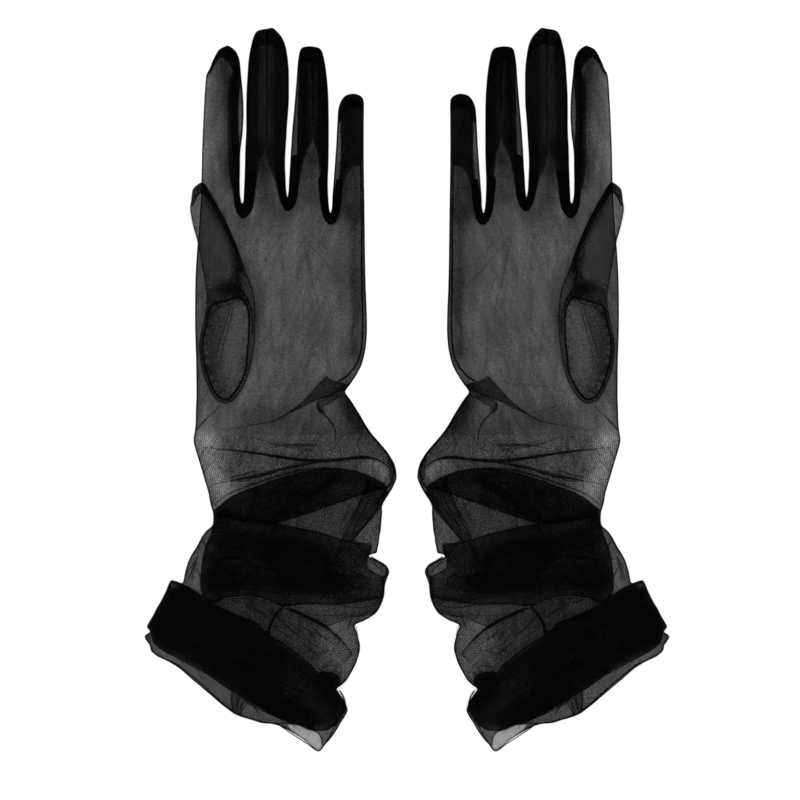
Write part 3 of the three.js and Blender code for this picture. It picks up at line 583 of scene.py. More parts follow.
# the slanting fold beside it
fold(None, [(-20.40, -47.28), (-15.60, -46.32), (-10.32, -46.80), (-8.88, -50.16), (-10.80, -54.00), (-14.16, -58.32), (-17.52, -62.64), (-20.88, -66.48), (-24.24, -70.32), (-26.64, -72.72), (-30.96, -71.76), (-29.52, -67.92), (-26.64, -63.12), (-24.24, -57.36), (-22.32, -52.08)], 1.4, 1.1, den=0.66, seed=4, wave=0.3, select=sleeve_or_cuff)
fold(None, [(-26.64, -71.76), (-22.32, -73.20), (-17.04, -73.92), (-18.00, -78.48), (-18.72, -80.40), (-22.32, -77.04)], 0.8, 0.8, den=0.35, seed=5, spacing=1.4, wave=0.1, select=sleeve_or_cuff)
# light single fabric over the gap between them
fold(None, [(-63.12, -64.08), (-50.64, -60.24), (-38.64, -56.16), (-25.68, -52.08), (-21.84, -51.60), (-24.24, -57.84), (-27.12, -64.08), (-29.52, -68.88), (-31.92, -71.76), (-45.36, -67.68), (-54.96, -65.76)], 0.8, 1.5, den=0.62, seed=6, wave=0.3, double=False, edge_gain=0.2, select=sleeve_or_cuff)
# the broad dark roll below them
J_POLY = [(-92.88, -59.28), (-85.68, -60.96), (-78.48, -62.40), (-71.28, -63.60), (-64.08, -63.84), (-58.32, -64.80), (-52.08, -66.00), (-45.36, -67.44), (-38.64, -69.12), (-32.40, -71.28), (-26.64, -72.72), (-21.84, -73.68), (-17.04, -74.64), (-17.52, -78.00), (-18.72, -80.40), (-18.72, -85.20), (-15.12, -87.60), (-11.04, -90.00), (-10.56, -95.28), (-11.28, -99.36), (-18.48, -100.80), (-27.12, -102.24), (-35.28, -102.96), (-42.48, -102.72), (-51.12, -102.72), (-58.80, -103.68), (-64.56, -101.52), (-70.80, -99.60), (-78.00, -98.88), (-86.64, -99.84), (-92.88, -102.00), (-96.72, -100.08), (-98.74, -96.24), (-99.02, -91.44), (-98.64, -85.68), (-97.87, -79.92), (-96.00, -73.68), (-93.84, -68.40)]
fold(None, J_POLY, 3.6, 2.2, den=1.0, seed=7, wave=0.6, spacing=1.4, strokes=[([(-81.84, -70.32), (-69.36, -74.64), (-55.92, -76.08), (-45.36, -78.00)], 5.0, 0.45), ([(-92.40, -76.08), (-85.68, -79.92), (-79.92, -84.72)], 5.0, -0.3), ([(-77.04, -78.00), (-69.36, -84.72), (-62.64, -90.00)], 2.2, -0.35), ([(-96.24, -91.44), (-90.48, -93.36), (-83.76, -93.36)], 4.0, 0.5), ([(-60.72, -89.52), (-48.72, -91.44), (-35.76, -91.44)], 4.0, 0.5), ([(-38.78, -79.92), (-38.64, -84.72), (-38.64, -90.00)], 1.2, 0.8), ([(-29.52, -81.84), (-22.32, -87.60), (-15.60, -93.84)], 8.0, -0.3), ([(-77.52, -66.48), (-71.28, -67.44), (-65.52, -67.92)], 2.0, -0.1), ([(-30.48, -74.64), (-32.88, -78.96), (-34.32, -82.80)], 1.1, 0.6), ([(-16.56, -81.84), (-12.72, -87.60), (-12.72, -96.24)], 5.0, -0.35), ([(-19.44, -74.64), (-17.04, -76.56)], 3.0, -0.6)], select=sleeve_or_cuff)
fold(None, [(-93.36, -72.72), (-86.64, -66.96), (-77.04, -66.00), (-64.56, -66.96), (-51.12, -69.84), (-38.64, -73.20), (-30.00, -76.56), (-23.28, -81.84), (-16.56, -90.00), (-12.24, -95.76), (-26.16, -98.16), (-42.48, -99.60), (-55.92, -99.60), (-69.36, -96.24), (-79.92, -95.28), (-88.56, -97.20), (-96.24, -97.20), (-97.68, -87.60), (-96.24, -79.44)], 2.4, 2.5, den=0.42, seed=8, wave=0.8, soft=5.0, strokes=[([(-29.52, -81.84), (-22.32, -87.60), (-15.60, -95.28)], 9.0, -0.6)], select=sleeve_or_cuff)
# the half-light below the roll, on the little-finger side
fold(None, [(-58.32, -102.96), (-51.12, -102.48), (-42.48, -102.48), (-35.28, -102.72), (-27.12, -102.00), (-18.48, -100.56), (-11.28, -99.12), (-11.76, -102.96), (-15.12, -107.28), (-19.44, -108.24), (-23.76, -109.20), (-27.60, -108.72), (-32.88, -111.12), (-38.64, -113.52), (-45.36, -110.40), (-52.56, -106.80)], 1.3, 1.4, den=0.30, seed=9, wave=0.5, select=sleeve_or_cuff)
fold(None, [(-92.88, -101.52), (-86.64, -100.08), (-78.00, -99.12), (-70.80, -99.84), (-64.56, -101.76), (-58.80, -103.92), (-61.20, -106.32), (-63.60, -109.20), (-65.04, -113.04), (-66.00, -118.32), (-69.36, -113.04), (-81.84, -109.68)], 1.2, 1.6, den=1.0, seed=10, wave=0.6, double=False, edge_gain=0.35, select=sleeve_or_cuff)
fold(None, [(-58.80, -103.92), (-52.56, -106.80), (-45.36, -110.40), (-38.64, -114.24), (-33.36, -118.32), (-29.52, -122.16), (-26.16, -126.48), (-29.04, -130.32), (-32.88, -133.20), (-36.72, -135.60), (-43.44, -133.68), (-51.12, -127.92), (-57.36, -123.12), (-65.04, -118.80), (-65.52, -113.04), (-63.60, -109.20), (-61.20, -106.32)], 1.0, 1.6, den=1.0, seed=16, wave=0.6, double=False, edge_gain=0.35, strokes=[([(-38.64, -120.24), (-33.84, -127.44), (-36.72, -133.68)], 8.0, -0.7)], select=sleeve_or_cuff)
# the thick gathered end
N_POLY = [(-112.80, -91.44), (-107.76, -93.12), (-103.92, -94.80), (-100.08, -96.96), (-95.76, -100.08), (-91.44, -102.96), (-86.64, -105.36), (-81.84, -107.52), (-76.08, -109.68), (-71.28, -112.08), (-67.44, -115.44), (-64.08, -118.32), (-60.72, -120.24), (-57.36, -122.64), (-53.52, -125.52), (-49.68, -128.40), (-45.84, -131.76), (-42.96, -134.64), (-39.60, -134.88), (-35.76, -135.36), (-32.88, -137.04), (-31.68, -139.92), (-32.88, -142.32), (-33.36, -143.76), (-31.44, -146.16), (-29.76, -149.04), (-28.90, -151.92), (-30.48, -155.76), (-32.88, -159.12), (-35.76, -161.71), (-38.64, -163.44), (-42.48, -163.54), (-46.80, -162.86), (-50.64, -160.85), (-55.92, -159.22), (-60.72, -157.92), (-64.56, -156.00), (-69.36, -153.12), (-74.16, -150.24), (-78.00, -147.84), (-81.84, -145.44), (-85.68, -143.52), (-92.40, -138.72), (-98.64, -134.88), (-104.88, -131.76), (-110.64, -128.64), (-116.88, -125.28), (-121.20, -121.68), (-122.64, -118.32), (-123.12, -115.20), (-123.84, -113.52), (-120.24, -106.32), (-116.40, -99.12)]


def cuff_only(c):
    return np.full(len(c), "cuff_fabric", dtype=object)


fold(None, N_POLY, 4.2, 2.6, den=1.0, den_low=0.95, seed=11, wave=0.7, spacing=1.5, strokes=[([(-79.92, -126.96), (-74.16, -131.28), (-68.88, -136.08)], 0.9, -0.5), ([(-84.24, -130.32), (-75.60, -133.20), (-66.00, -140.88), (-59.28, -147.60), (-52.56, -154.32)], 1.4, 0.6), ([(-55.92, -141.36), (-47.28, -147.60), (-39.60, -155.76)], 9.0, -0.25), ([(-113.04, -92.88), (-110.64, -94.32)], 2.2, -0.7), ([(-118.32, -123.12), (-109.68, -127.92), (-101.04, -133.20)], 2.0, -0.35)], select=cuff_only)
fold(None, [(-111.60, -93.84), (-104.88, -95.52), (-98.16, -99.36), (-89.52, -104.88), (-78.00, -109.92), (-71.28, -113.28), (-63.60, -119.76), (-55.92, -125.04), (-49.20, -130.32), (-43.92, -135.36), (-37.68, -136.56), (-33.84, -141.36), (-31.92, -148.08), (-32.88, -154.32), (-37.20, -159.60), (-45.36, -161.52), (-54.96, -157.68), (-64.56, -154.32), (-74.16, -149.04), (-83.76, -142.80), (-94.32, -136.08), (-105.84, -130.08), (-116.40, -124.08), (-121.92, -118.32), (-122.64, -114.00), (-118.80, -105.84)], 3.4, 3.0, den=0.6, seed=12, wave=1.0, soft=1.3, strokes=[([(-51.12, -141.36), (-45.36, -147.60), (-38.64, -154.80)], 8.0, -0.45), ([(-113.04, -92.88), (-110.64, -94.32)], 3.4, -0.9), ([(-119.28, -122.16), (-109.68, -127.44), (-100.08, -133.20), (-92.40, -138.00), (-85.68, -142.32)], 1.5, -0.35)], select=cuff_only)
# the small pleats in the hem, half way along the mouth
fold(None, [(-78.00, -147.60), (-73.20, -148.80), (-68.40, -150.48), (-62.16, -153.17), (-54.00, -155.90), (-48.72, -159.12), (-43.44, -162.96), (-47.28, -163.20), (-52.08, -161.04), (-59.28, -158.64), (-66.48, -155.52), (-72.24, -152.88), (-76.56, -150.24)], 0.8, 0.9, den=0.42, seed=15, spacing=1.3, wave=0.2, select=cuff_only)
fold(None, [(-84.24, -143.76), (-80.88, -145.68), (-77.04, -147.60), (-76.80, -150.96), (-79.44, -155.28), (-80.88, -156.24), (-83.28, -155.28), (-84.24, -151.92), (-84.48, -147.60)], 1.0, 0.8, den=0.3, seed=13, spacing=1.3, wave=0.1, select=cuff_only)
# the knot of little folds at the little-finger end of the gathers
fold(None, [(-42.00, -133.68), (-38.64, -130.32), (-34.80, -129.36), (-31.44, -131.76), (-30.96, -135.60), (-32.88, -139.44), (-36.24, -138.00), (-40.56, -136.56)], 1.4, 0.9, den=0.15, seed=14, spacing=1.3, wave=0.3, select=cuff_only)


# ------------------------------------------------------------------ thumb
def thumb_base(p):
    return z_top(p) + 0.45


def thumb_low(p):
    d = dist_to(p, THUMB_L)
    return thumb_base(p) + 0.9 - 0.7 * prof(d / 0.8)


def thumb_high(p):
    d = dist_to(p, THUMB_L)
    n = noise(p, 12, 31, (1.3, 0.6)) * 0.35 + noise(p, 5, 33, (1.4, 0.5)) * 0.12
    return thumb_base(p) + 0.9 + 0.8 * prof(d / 0.8) + 2.6 * (1 - np.exp(-d / 5.0)) + n * (1 - np.exp(-d / 3))


def thumb_density(p, gain_in):
    """The thumb lies over the palm, where it is stretched thin, and bunches at its root and tip."""
    off_palm = np.where(inside(p, SIL), 0.0, step01((dist_to(p, SIL) + 0.2) / 0.5)) * step01((p[:, 1] - 40) / 8)
    d_oval = dist_to(p, OVAL_L)
    ins = inside(p, OVAL_L)
    g = 0.52 + 0.48 * off_palm
    g = np.where(ins, gain_in, g)
    root = np.exp(-(((p[:, 0] - -84.72) / 4.6) ** 2 + ((p[:, 1] - 48.24) / 3.0) ** 2))
    root2 = np.exp(-((dist_to(p, smooth_line([(-81.84, 61.20), (-81.36, 54.48), (-81.84, 47.76), (-78.96, 43.92)], 2.0), False) / 2.0) ** 2))
    left = np.exp(-(dist_to(p, smooth_line([(-94.80, 34.32), (-96.72, 26.64), (-97.20, 18.00), (-95.76, 9.36), (-92.40, 1.68), (-88.08, -1.68)], 2.0), False) / 2.6) ** 2)
    lefts = np.exp(-(dist_to(p, smooth_line([(-91.44, 37.20), (-92.40, 28.56), (-92.88, 18.96), (-91.44, 8.40), (-88.56, 1.68)], 2.0), False) / 4.6) ** 2)
    right = np.exp(-(dist_to(p, smooth_line([(-97.20, 95.76), (-92.40, 86.64), (-88.08, 78.00), (-84.24, 69.84), (-81.36, 61.20)], 2.0), False) / 2.0) ** 2)
    ring = np.exp(-((d_oval / 1.2) ** 2)) * (~ins)
    rim = np.exp(-((d_oval / 2.4) ** 2)) * ins
    g = g + 1.15 * root + 0.5 * root2 + (~ins) * 0.5 * right + 0.2 * ring + 0.45 * rim + ins * (0.40 * left + 0.55 * lefts)
    return g


def thumb_parts(c):
    names = np.full(len(c), "thumb_base_fabric", dtype=object)
    names[c[:, 1] > THUMB_CUT] = "thumb_stall_fabric"
    return names


THUMB_CUT = THUMB_Y - 7.5
tcut = np.array([[x, THUMB_CUT] for x in np.linspace(-98.16, -71.76, 30)])
p, f = tri_patch(THUMB_L, 1.5, cuts=(tcut,), holes=(OVAL_L,))
put(None, p, f, thumb_low(p), den=thumb_density(p, 0.4) * 0.95, flip=True, edge_lines=[(THUMB_L, True)], uv=fabric_uv(p, 48, 1.02, (1, 2), 0.8, 41), select=thumb_parts)
p, f = tri_patch(THUMB_L, 1.4, cuts=(tcut, OVAL_L))
put(None, p, f, thumb_high(p), den=thumb_density(p, 1.2), edge_lines=[(THUMB_L, True)], uv=fabric_uv(p, 14, 1.0, (0, 0), 0.8, 44), select=thumb_parts)


def thumb_fold(name, poly, f0, f1, den, seed, double=True):
    l = smooth_line(poly, 1.1, closed=True)
    p, f = tri_patch(l, 1.4, clip=(THUMB_L,), cuts=(tcut,), rings=(0.4, 1.0))
    zt, zb = thumb_high(p), thumb_low(p)
    d = dist_to(p, l)
    k = prof(d / 0.9)
    mid = (f0 + f1) / 2
    put(name, p, f, zb + (zt - zb) * (mid + (f1 - mid) * k), den=den, edge_lines=[(l, True)], edge_gain=0.7, uv=fabric_uv(p, 40, 1.0, (seed, 1), 0.5, seed), select=thumb_parts)
    if double:
        put(name, p, f, zb + (zt - zb) * (mid - (mid - f0) * k), den=den, flip=True, uv=fabric_uv(p, -30, 1.0, (seed, 2), 0.5, seed + 2), select=thumb_parts)


# gathered tip, the turned-in edge along the seam, and pleats at the root
thumb_fold(None, [(-104.40, 88.08), (-104.40, 96.72), (-97.68, 100.56), (-93.84, 94.80), (-96.24, 93.36), (-98.64, 94.32), (-100.56, 92.40), (-102.48, 88.08)], 0.2, 0.85, 0.95, 51)
thumb_fold(None, [(-99.12, 100.08), (-94.32, 95.76), (-89.52, 87.12), (-85.20, 78.48), (-81.84, 70.32), (-79.44, 63.12), (-78.48, 56.40), (-80.40, 56.40), (-81.36, 63.12), (-83.76, 69.36), (-87.60, 77.04), (-91.92, 85.20), (-95.76, 91.44), (-97.68, 94.80)], 0.3, 0.8, 0.62, 53)
thumb_fold(None, [(-95.28, 41.52), (-95.76, 46.80), (-93.36, 48.72), (-89.52, 50.16), (-85.20, 53.04), (-81.84, 58.32), (-78.48, 61.20), (-76.56, 57.36), (-78.48, 52.08), (-79.92, 46.80), (-81.84, 42.48), (-85.68, 40.08), (-90.00, 38.64), (-93.84, 34.80), (-95.76, 30.00), (-97.20, 28.56), (-96.24, 35.28)], 0.25, 0.8, 0.2, 55)


# ------------------------------------------------------------------ creases: narrow standing pleats of the fabric
def surface(p):
    return STACK[-1](p)


def crease(name, path, width, height=0.5, den=1.6, base=surface, select=None, taper=(0.35, 0.35), wobble=0.12):
    l = smooth_line(path, 0.9)
    t = np.gradient(l, axis=0)
    nrm = np.stack([-t[:, 1], t[:, 0]], 1) / np.maximum(np.linalg.norm(t, axis=1), 1e-9)[:, None]
    s = np.linspace(0, 1, len(l))
    w = np.ones(len(l))
    if taper[0]:
        w *= step01(s / taper[0]) * 0.85 + 0.15
    if taper[1]:
        w *= step01((1 - s) / taper[1]) * 0.85 + 0.15
    w = w * width * (1 + wobble * noise(l, 8, 13))
    rows = []
    for k, (off, h) in enumerate(((-0.5, 0.06), (-0.16, 1.0), (0.16, 1.0), (0.5, 0.06))):
        q = l + nrm * (off * w)[:, None]
        z = base(l) + 0.12 + h * height * np.minimum(1, w / max(width, 1e-6) + 0.2)
        rows.append(np.column_stack([q, z]))
    n = len(l)
    v = np.concatenate(rows)
    f = []
    for r in range(3):
        for i in range(n - 1):
            a, b, c, d = r * n + i, r * n + i + 1, (r + 1) * n + i, (r + 1) * n + i + 1
            f += [(a, c, b), (b, c, d)]
    f = np.array(f)
    along = np.concatenate([[0], np.cumsum(np.linalg.norm(np.diff(l, axis=0), axis=1))])
    uv = np.concatenate([np.column_stack([along, np.full(n, k * 0.6)]) for k in range(4)])
    dn = np.full(len(v), float(den))
    if select is None:
        piece(name).add(v, f, uv, dn)
    else:
        names = select(v[f].mean(1)[:, :2])
        for nm in set(names):
            k = names == nm
            used, inv = np.unique(f[k], return_inverse=True)
            piece(nm).add(v[used], inv.reshape(-1, 3), uv[used], dn[used])


# across the wrist and the top of the arm
crease(None, [(-97.68, -27.60), (-91.44, -28.32), (-81.36, -29.28), (-70.32, -30.72), (-59.76, -32.40), (-49.68, -33.74), (-40.08, -34.13), (-30.00, -33.36), (-23.28, -32.54), (-18.00, -32.64), (-13.20, -34.08), (-9.84, -36.24), (-7.44, -39.12)], 1.6, 0.6, den=3.6, select=sleeve_or_cuff, taper=(0.45, 0.2))
crease(None, [(-94.80, -45.84), (-87.12, -44.16), (-79.92, -42.96), (-72.72, -41.52), (-65.52, -39.60), (-57.36, -37.44), (-48.72, -35.76), (-40.08, -34.46)], 1.3, 0.5, den=2.4, select=sleeve_or_cuff, taper=(0.5, 0.1))
# a narrow pleat just above the upper edge of the long lens; its raised density is a painted shadow beside the painted
# highlight on that edge
crease(None, [(-92.40, -55.44), (-88.56, -52.08), (-83.76, -49.20), (-77.04, -46.56), (-69.36, -43.92), (-60.72, -41.04), (-51.12, -38.64), (-42.48, -37.44), (-31.92, -36.96)], 1.2, 0.5, den=1.6, select=sleeve_or_cuff, taper=(0.4, 0.4))
crease(None, [(-51.60, -7.20), (-57.36, -11.57), (-64.08, -15.12), (-72.72, -16.80), (-81.36, -18.24), (-89.52, -19.44)], 0.9, 0.4, den=1.5, select=sleeve_or_cuff, taper=(0.1, 0.9))
crease(None, [(-101.76, -20.40), (-99.12, -17.04), (-95.28, -13.20), (-90.96, -9.36), (-87.60, -6.00)], 0.8, 0.35, den=1.6, select=sleeve_or_cuff, taper=(0.1, 0.7))
crease(None, [(-42.72, -4.08), (-42.96, -6.96), (-42.48, -9.84), (-40.08, -11.52), (-37.68, -13.92), (-35.76, -16.56), (-34.32, -20.40), (-34.32, -24.24), (-35.76, -27.60), (-38.64, -29.52), (-42.00, -28.80)], 0.9, 0.35, den=1.6, select=sleeve_or_cuff, taper=(0.2, 0.6))
crease(None, [(-42.48, -5.04), (-42.72, -7.92), (-41.04, -10.56), (-39.12, -11.76)], 1.5, 0.4, den=1.2, select=sleeve_or_cuff, taper=(0.4, 0.5))
crease(None, [(-26.16, -51.60), (-28.56, -57.36), (-30.48, -62.64), (-32.40, -68.40)], 0.5, 0.3, den=1.1, select=sleeve_or_cuff)
crease(None, [(-16.56, -48.24), (-19.44, -55.44), (-23.28, -62.64), (-26.64, -69.36)], 0.7, 0.35, den=1.6, select=sleeve_or_cuff)
# below the roll
crease(None, [(-59.28, -103.68), (-52.56, -106.56), (-45.36, -109.92), (-38.64, -113.76), (-33.36, -118.08), (-29.52, -122.16), (-26.16, -126.48)], 1.7, 0.7, den=3.6, select=sleeve_or_cuff, taper=(0.15, 0.6))
crease(None, [(-60.00, -104.40), (-62.64, -107.52), (-64.80, -111.12), (-66.00, -114.96), (-66.48, -119.28)], 1.5, 0.6, den=3.2, select=sleeve_or_cuff, taper=(0.2, 0.3))
crease(None, [(-87.60, -101.28), (-82.80, -100.08), (-77.04, -99.70), (-70.80, -100.56), (-65.04, -102.48)], 0.6, 0.4, den=1.5, select=sleeve_or_cuff)
crease(None, [(-38.64, -113.52), (-33.36, -111.60), (-27.12, -109.20), (-21.36, -107.76), (-16.56, -104.88), (-12.72, -102.00)], 0.6, 0.4, den=1.4, select=sleeve_or_cuff)
crease(None, [(-26.16, -109.20), (-27.60, -112.08), (-28.56, -114.96)], 0.9, 0.4, den=1.5, select=sleeve_or_cuff)
crease(None, [(-51.12, -131.76), (-45.36, -127.92), (-38.64, -125.04), (-31.92, -125.04)], 0.5, 0.3, den=1.0, select=sleeve_or_cuff)
crease(None, [(-78.00, -112.08), (-73.20, -111.60), (-69.36, -112.56)], 0.5, 0.3, den=1.0, select=sleeve_or_cuff)
crease(None, [(-60.24, -118.80), (-57.36, -120.72), (-55.92, -123.12)], 0.6, 0.3, den=1.3, select=sleeve_or_cuff)
crease(None, [(-58.80, -107.28), (-51.12, -112.56), (-43.44, -120.24), (-37.68, -127.44)], 0.4, 0.25, den=0.6, select=sleeve_or_cuff)
# in the loose flaps at both sides
crease(None, [(-98.40, -71.28), (-96.72, -74.64), (-95.76, -78.00)], 0.6, 0.35, den=1.4, select=sleeve_or_cuff)
crease(None, [(-100.56, -85.20), (-99.60, -88.08), (-98.16, -91.92)], 0.7, 0.35, den=1.4, select=sleeve_or_cuff)
crease(None, [(-18.48, -80.40), (-15.60, -83.76), (-11.76, -87.12), (-9.84, -88.56)], 0.6, 0.35, den=1.2, select=sleeve_or_cuff)
for path, w, dn in (
    ([(-92.88, -97.68), (-88.56, -96.72), (-83.28, -95.57), (-73.20, -95.28), (-63.12, -96.91), (-55.92, -99.12)], 0.6, 1.2),
    ([(-49.20, -97.44), (-42.48, -98.64), (-35.28, -99.60), (-25.20, -100.37), (-12.72, -98.98)], 0.6, 1.2),
    ([(-88.56, -97.92), (-81.84, -97.20), (-75.12, -97.20), (-69.36, -98.40)], 0.5, 1.0),
    ([(-38.64, -101.71), (-32.88, -102.96), (-28.56, -103.78), (-21.84, -104.40), (-14.64, -102.77)], 0.55, 1.1),
    ([(-52.56, -105.84), (-47.28, -107.28), (-42.00, -108.00), (-31.92, -107.90), (-25.20, -104.88)], 0.5, 1.0),
    ([(-85.20, -100.46), (-81.84, -101.28), (-78.48, -102.48)], 0.7, 1.2),
    ([(-81.36, -109.87), (-77.04, -109.97), (-74.16, -110.64), (-70.80, -112.08)], 0.7, 1.4),
    ([(-25.20, -111.60), (-24.24, -114.96), (-23.28, -118.80)], 0.5, 0.9),
    ([(-50.64, -126.96), (-47.76, -125.52), (-44.88, -124.08), (-41.52, -123.36)], 0.45, 0.5),
    ([(-48.24, -130.51), (-43.92, -128.88), (-38.64, -128.16)], 0.45, 0.5),
    ([(-19.58, -49.68), (-22.32, -54.48), (-25.68, -60.24), (-29.04, -65.04), (-31.68, -69.12)], 0.6, 1.4),
    ([(-12.05, -55.78), (-15.60, -60.58), (-20.88, -66.00), (-26.64, -72.24)], 0.5, 1.0),
):
    crease(None, path, w, 0.35, den=dn, select=sleeve_or_cuff)
for path, w, dn in (
    ([(-77.18, -147.60), (-73.20, -148.80), (-69.36, -149.81), (-65.52, -151.44), (-62.16, -153.17), (-57.84, -154.61), (-54.00, -155.90), (-48.24, -159.36)], 0.8, 1.8),
    ([(-76.08, -149.04), (-72.24, -150.96), (-67.44, -152.88), (-62.64, -155.76), (-57.84, -158.16)], 0.6, 1.3),
    ([(-42.19, -134.64), (-40.08, -132.96), (-37.20, -131.90), (-34.80, -132.53), (-32.59, -133.97)], 0.6, 1.3),
    ([(-38.78, -136.08), (-35.76, -135.22), (-32.59, -135.41), (-31.82, -138.77)], 0.6, 1.2),
    ([(-39.60, -138.77), (-36.72, -138.29), (-33.84, -138.86)], 0.7, 1.5),
    ([(-66.48, -120.72), (-62.64, -122.45), (-58.80, -124.08), (-56.40, -126.00)], 0.6, 1.2),
    ([(-120.38, -123.60), (-118.32, -123.31), (-115.44, -125.04), (-110.64, -127.92)], 0.5, 1.0),
    ([(-122.16, -117.36), (-120.72, -120.72), (-118.32, -123.12)], 0.6, 1.4),
    ([(-112.75, -92.40), (-114.19, -95.76), (-116.40, -100.08), (-119.76, -106.32), (-123.36, -113.33)], 0.7, 1.4),
):
    crease("cuff_fabric", path, w, 0.4, den=dn)
# faint drawn lines of the palm
for path, w, dn in (
    ([(-50.78, 79.92), (-49.20, 70.80), (-47.95, 63.12), (-45.84, 53.52), (-43.25, 44.11), (-42.48, 34.32), (-42.48, 25.20)], 0.7, 0.20),
    ([(-50.78, 76.08), (-45.84, 68.88), (-39.60, 61.20), (-34.80, 55.92), (-30.10, 51.60), (-27.12, 46.80), (-25.39, 42.24)], 0.7, 0.18),
    ([(-49.20, 78.48), (-42.48, 71.76), (-35.76, 64.08), (-30.00, 58.32), (-25.20, 54.48)], 0.6, 0.14),
    ([(-51.60, 72.72), (-46.32, 61.20), (-40.56, 49.68), (-36.72, 38.16), (-35.28, 26.64)], 0.7, 0.14),
    ([(-69.36, 76.56), (-67.44, 61.20), (-68.40, 42.96), (-66.48, 23.76)], 0.8, 0.10),
    ([(-60.72, 73.68), (-58.80, 57.36), (-59.76, 38.16), (-57.84, 18.96)], 0.8, 0.10),
    ([(-74.16, 42.96), (-71.28, 28.56), (-72.24, 14.16), (-69.36, -1.20)], 0.8, 0.12),
    ([(-77.04, -3.12), (-69.36, -8.88), (-58.80, -10.80), (-51.12, -8.88)], 0.9, 0.16),
    ([(-85.68, -4.08), (-77.04, -1.20), (-65.52, 1.68), (-51.12, 2.64), (-40.56, 4.56)], 0.9, 0.16),
    ([(-32.88, 28.56), (-29.52, 21.36), (-29.04, 15.12)], 0.8, 0.16),
    ([(-26.16, 42.96), (-25.68, 32.40), (-27.12, 22.80)], 0.7, 0.18),
):
    crease("hand_panels", path, w, 0.12, den=dn, base=z_top)


def scatter(region, turn, spread, n, lengths, width, dens, seed, select=sleeve_or_cuff, bow=0.12):
    """Fine random creases that run about one way inside a region."""
    rng = np.random.default_rng(seed)
    poly = arr(region)
    lo, hi = poly.min(0), poly.max(0)
    made = 0
    for _ in range(n * 12):
        if made == n:
            break
        c = rng.uniform(lo, hi)
        a = math.radians(turn + rng.normal() * spread)
        L = rng.uniform(*lengths)
        t = np.linspace(-0.5, 0.5, 7)
        d, q = np.array([math.cos(a), math.sin(a)]), np.array([-math.sin(a), math.cos(a)])
        k = rng.normal() * bow
        pts = c + L * (t[:, None] * d + (k * (t ** 2 - 0.08))[:, None] * q) + rng.normal(size=(7, 2)) * 0.25
        if not inside(pts, poly).all():
            continue
        crease(None, pts, width * rng.uniform(0.7, 1.3), 0.3, den=2.3 * dens * rng.uniform(0.6, 1.3), select=select)
        made += 1


scatter([(-88.56, -57.84), (-79.92, -51.12), (-60.72, -43.44), (-38.64, -38.64), (-20.40, -42.48), (-31.92, -52.08), (-55.92, -60.72), (-75.12, -61.68)], 22, 9, 8, (14, 34), 0.8, 0.55, 101)
scatter([(-96.24, -72.24), (-84.72, -65.52), (-55.92, -67.44), (-27.12, -75.12), (-16.56, -91.44), (-31.92, -101.04), (-84.72, -98.16), (-96.72, -93.36)], -4, 12, 18, (12, 36), 0.8, 0.55, 102)
scatter([(-31.92, -74.64), (-19.44, -81.84), (-12.72, -91.44), (-14.64, -98.16), (-31.92, -100.08)], 20, 30, 7, (8, 18), 0.6, 0.6, 103)
scatter([(-88.56, -101.52), (-69.36, -102.00), (-51.12, -108.72), (-30.00, -124.08), (-33.84, -132.72), (-51.12, -126.00), (-69.36, -112.56)], -28, 16, 16, (8, 24), 0.6, 0.45, 104)
scatter([(-110.64, -96.24), (-84.72, -111.60), (-55.92, -129.84), (-34.80, -144.24), (-33.84, -154.80), (-46.32, -159.60), (-70.32, -149.04), (-99.12, -130.80), (-119.28, -115.44)], -34, 8, 20, (14, 44), 0.8, 0.6, 105, select=cuff_only)
scatter([(-118.32, -122.16), (-103.92, -131.76), (-86.64, -141.36), (-79.92, -150.96), (-88.56, -149.04), (-103.92, -136.56)], -38, 10, 6, (6, 16), 0.6, 0.5, 106, select=cuff_only)
scatter([(-76.08, -149.04), (-60.72, -154.80), (-45.36, -162.48), (-51.12, -162.48), (-69.36, -155.76)], -24, 10, 8, (6, 16), 0.6, 0.9, 107, select=cuff_only)
scatter([(-96.24, -24.24), (-79.92, -22.32), (-51.12, -24.24), (-27.12, -24.24), (-16.56, -29.04), (-36.72, -31.92), (-70.32, -28.56)], -6, 9, 6, (14, 36), 0.7, 0.3, 108)
scatter([(-91.92, -44.40), (-79.92, -38.64), (-55.92, -34.80), (-41.52, -34.80), (-55.92, -37.68), (-79.92, -45.36)], 16, 5, 5, (14, 30), 0.7, 0.5, 109)
scatter([(-34.80, -6.00), (-29.04, -6.96), (-19.44, -20.40), (-12.72, -29.04), (-20.40, -30.00), (-29.04, -16.56)], -52, 9, 6, (8, 22), 0.7, 0.5, 110)
scatter([(-105.84, -79.92), (-99.12, -75.12), (-97.20, -81.84), (-99.12, -96.24), (-105.84, -92.40)], 75, 14, 4, (8, 16), 0.6, 0.5, 111)
for path in ([(-83.28, -144.24), (-84.00, -149.04), (-83.28, -154.80)], [(-79.44, -145.68), (-81.12, -150.00), (-81.84, -154.32)], [(-77.04, -147.60), (-79.44, -151.44), (-79.68, -155.76)], [(-75.12, -149.04), (-72.24, -153.36), (-69.36, -157.20)]):
    crease("cuff_fabric", path, 0.8, 0.4, den=1.3)
# inside the thumb hole
for path in ([(-83.86, 42.48), (-84.96, 37.68), (-86.45, 32.88), (-88.80, 25.68), (-90.72, 19.44), (-92.16, 13.20), (-92.88, 6.48)], [(-83.18, 42.00), (-83.76, 37.20), (-84.72, 32.40), (-86.40, 26.64), (-87.84, 21.36), (-88.66, 14.16), (-89.04, 6.00)]):
    crease("thumb_base_fabric", path, 0.5, 0.3, den=1.1, base=thumb_high, taper=(0.1, 0.5))


# ------------------------------------------------------------------ sewn seams: stitched cords with their turned edges
CORDS = {}


def cord_piece(name):
    return CORDS.setdefault(name, Fabric())


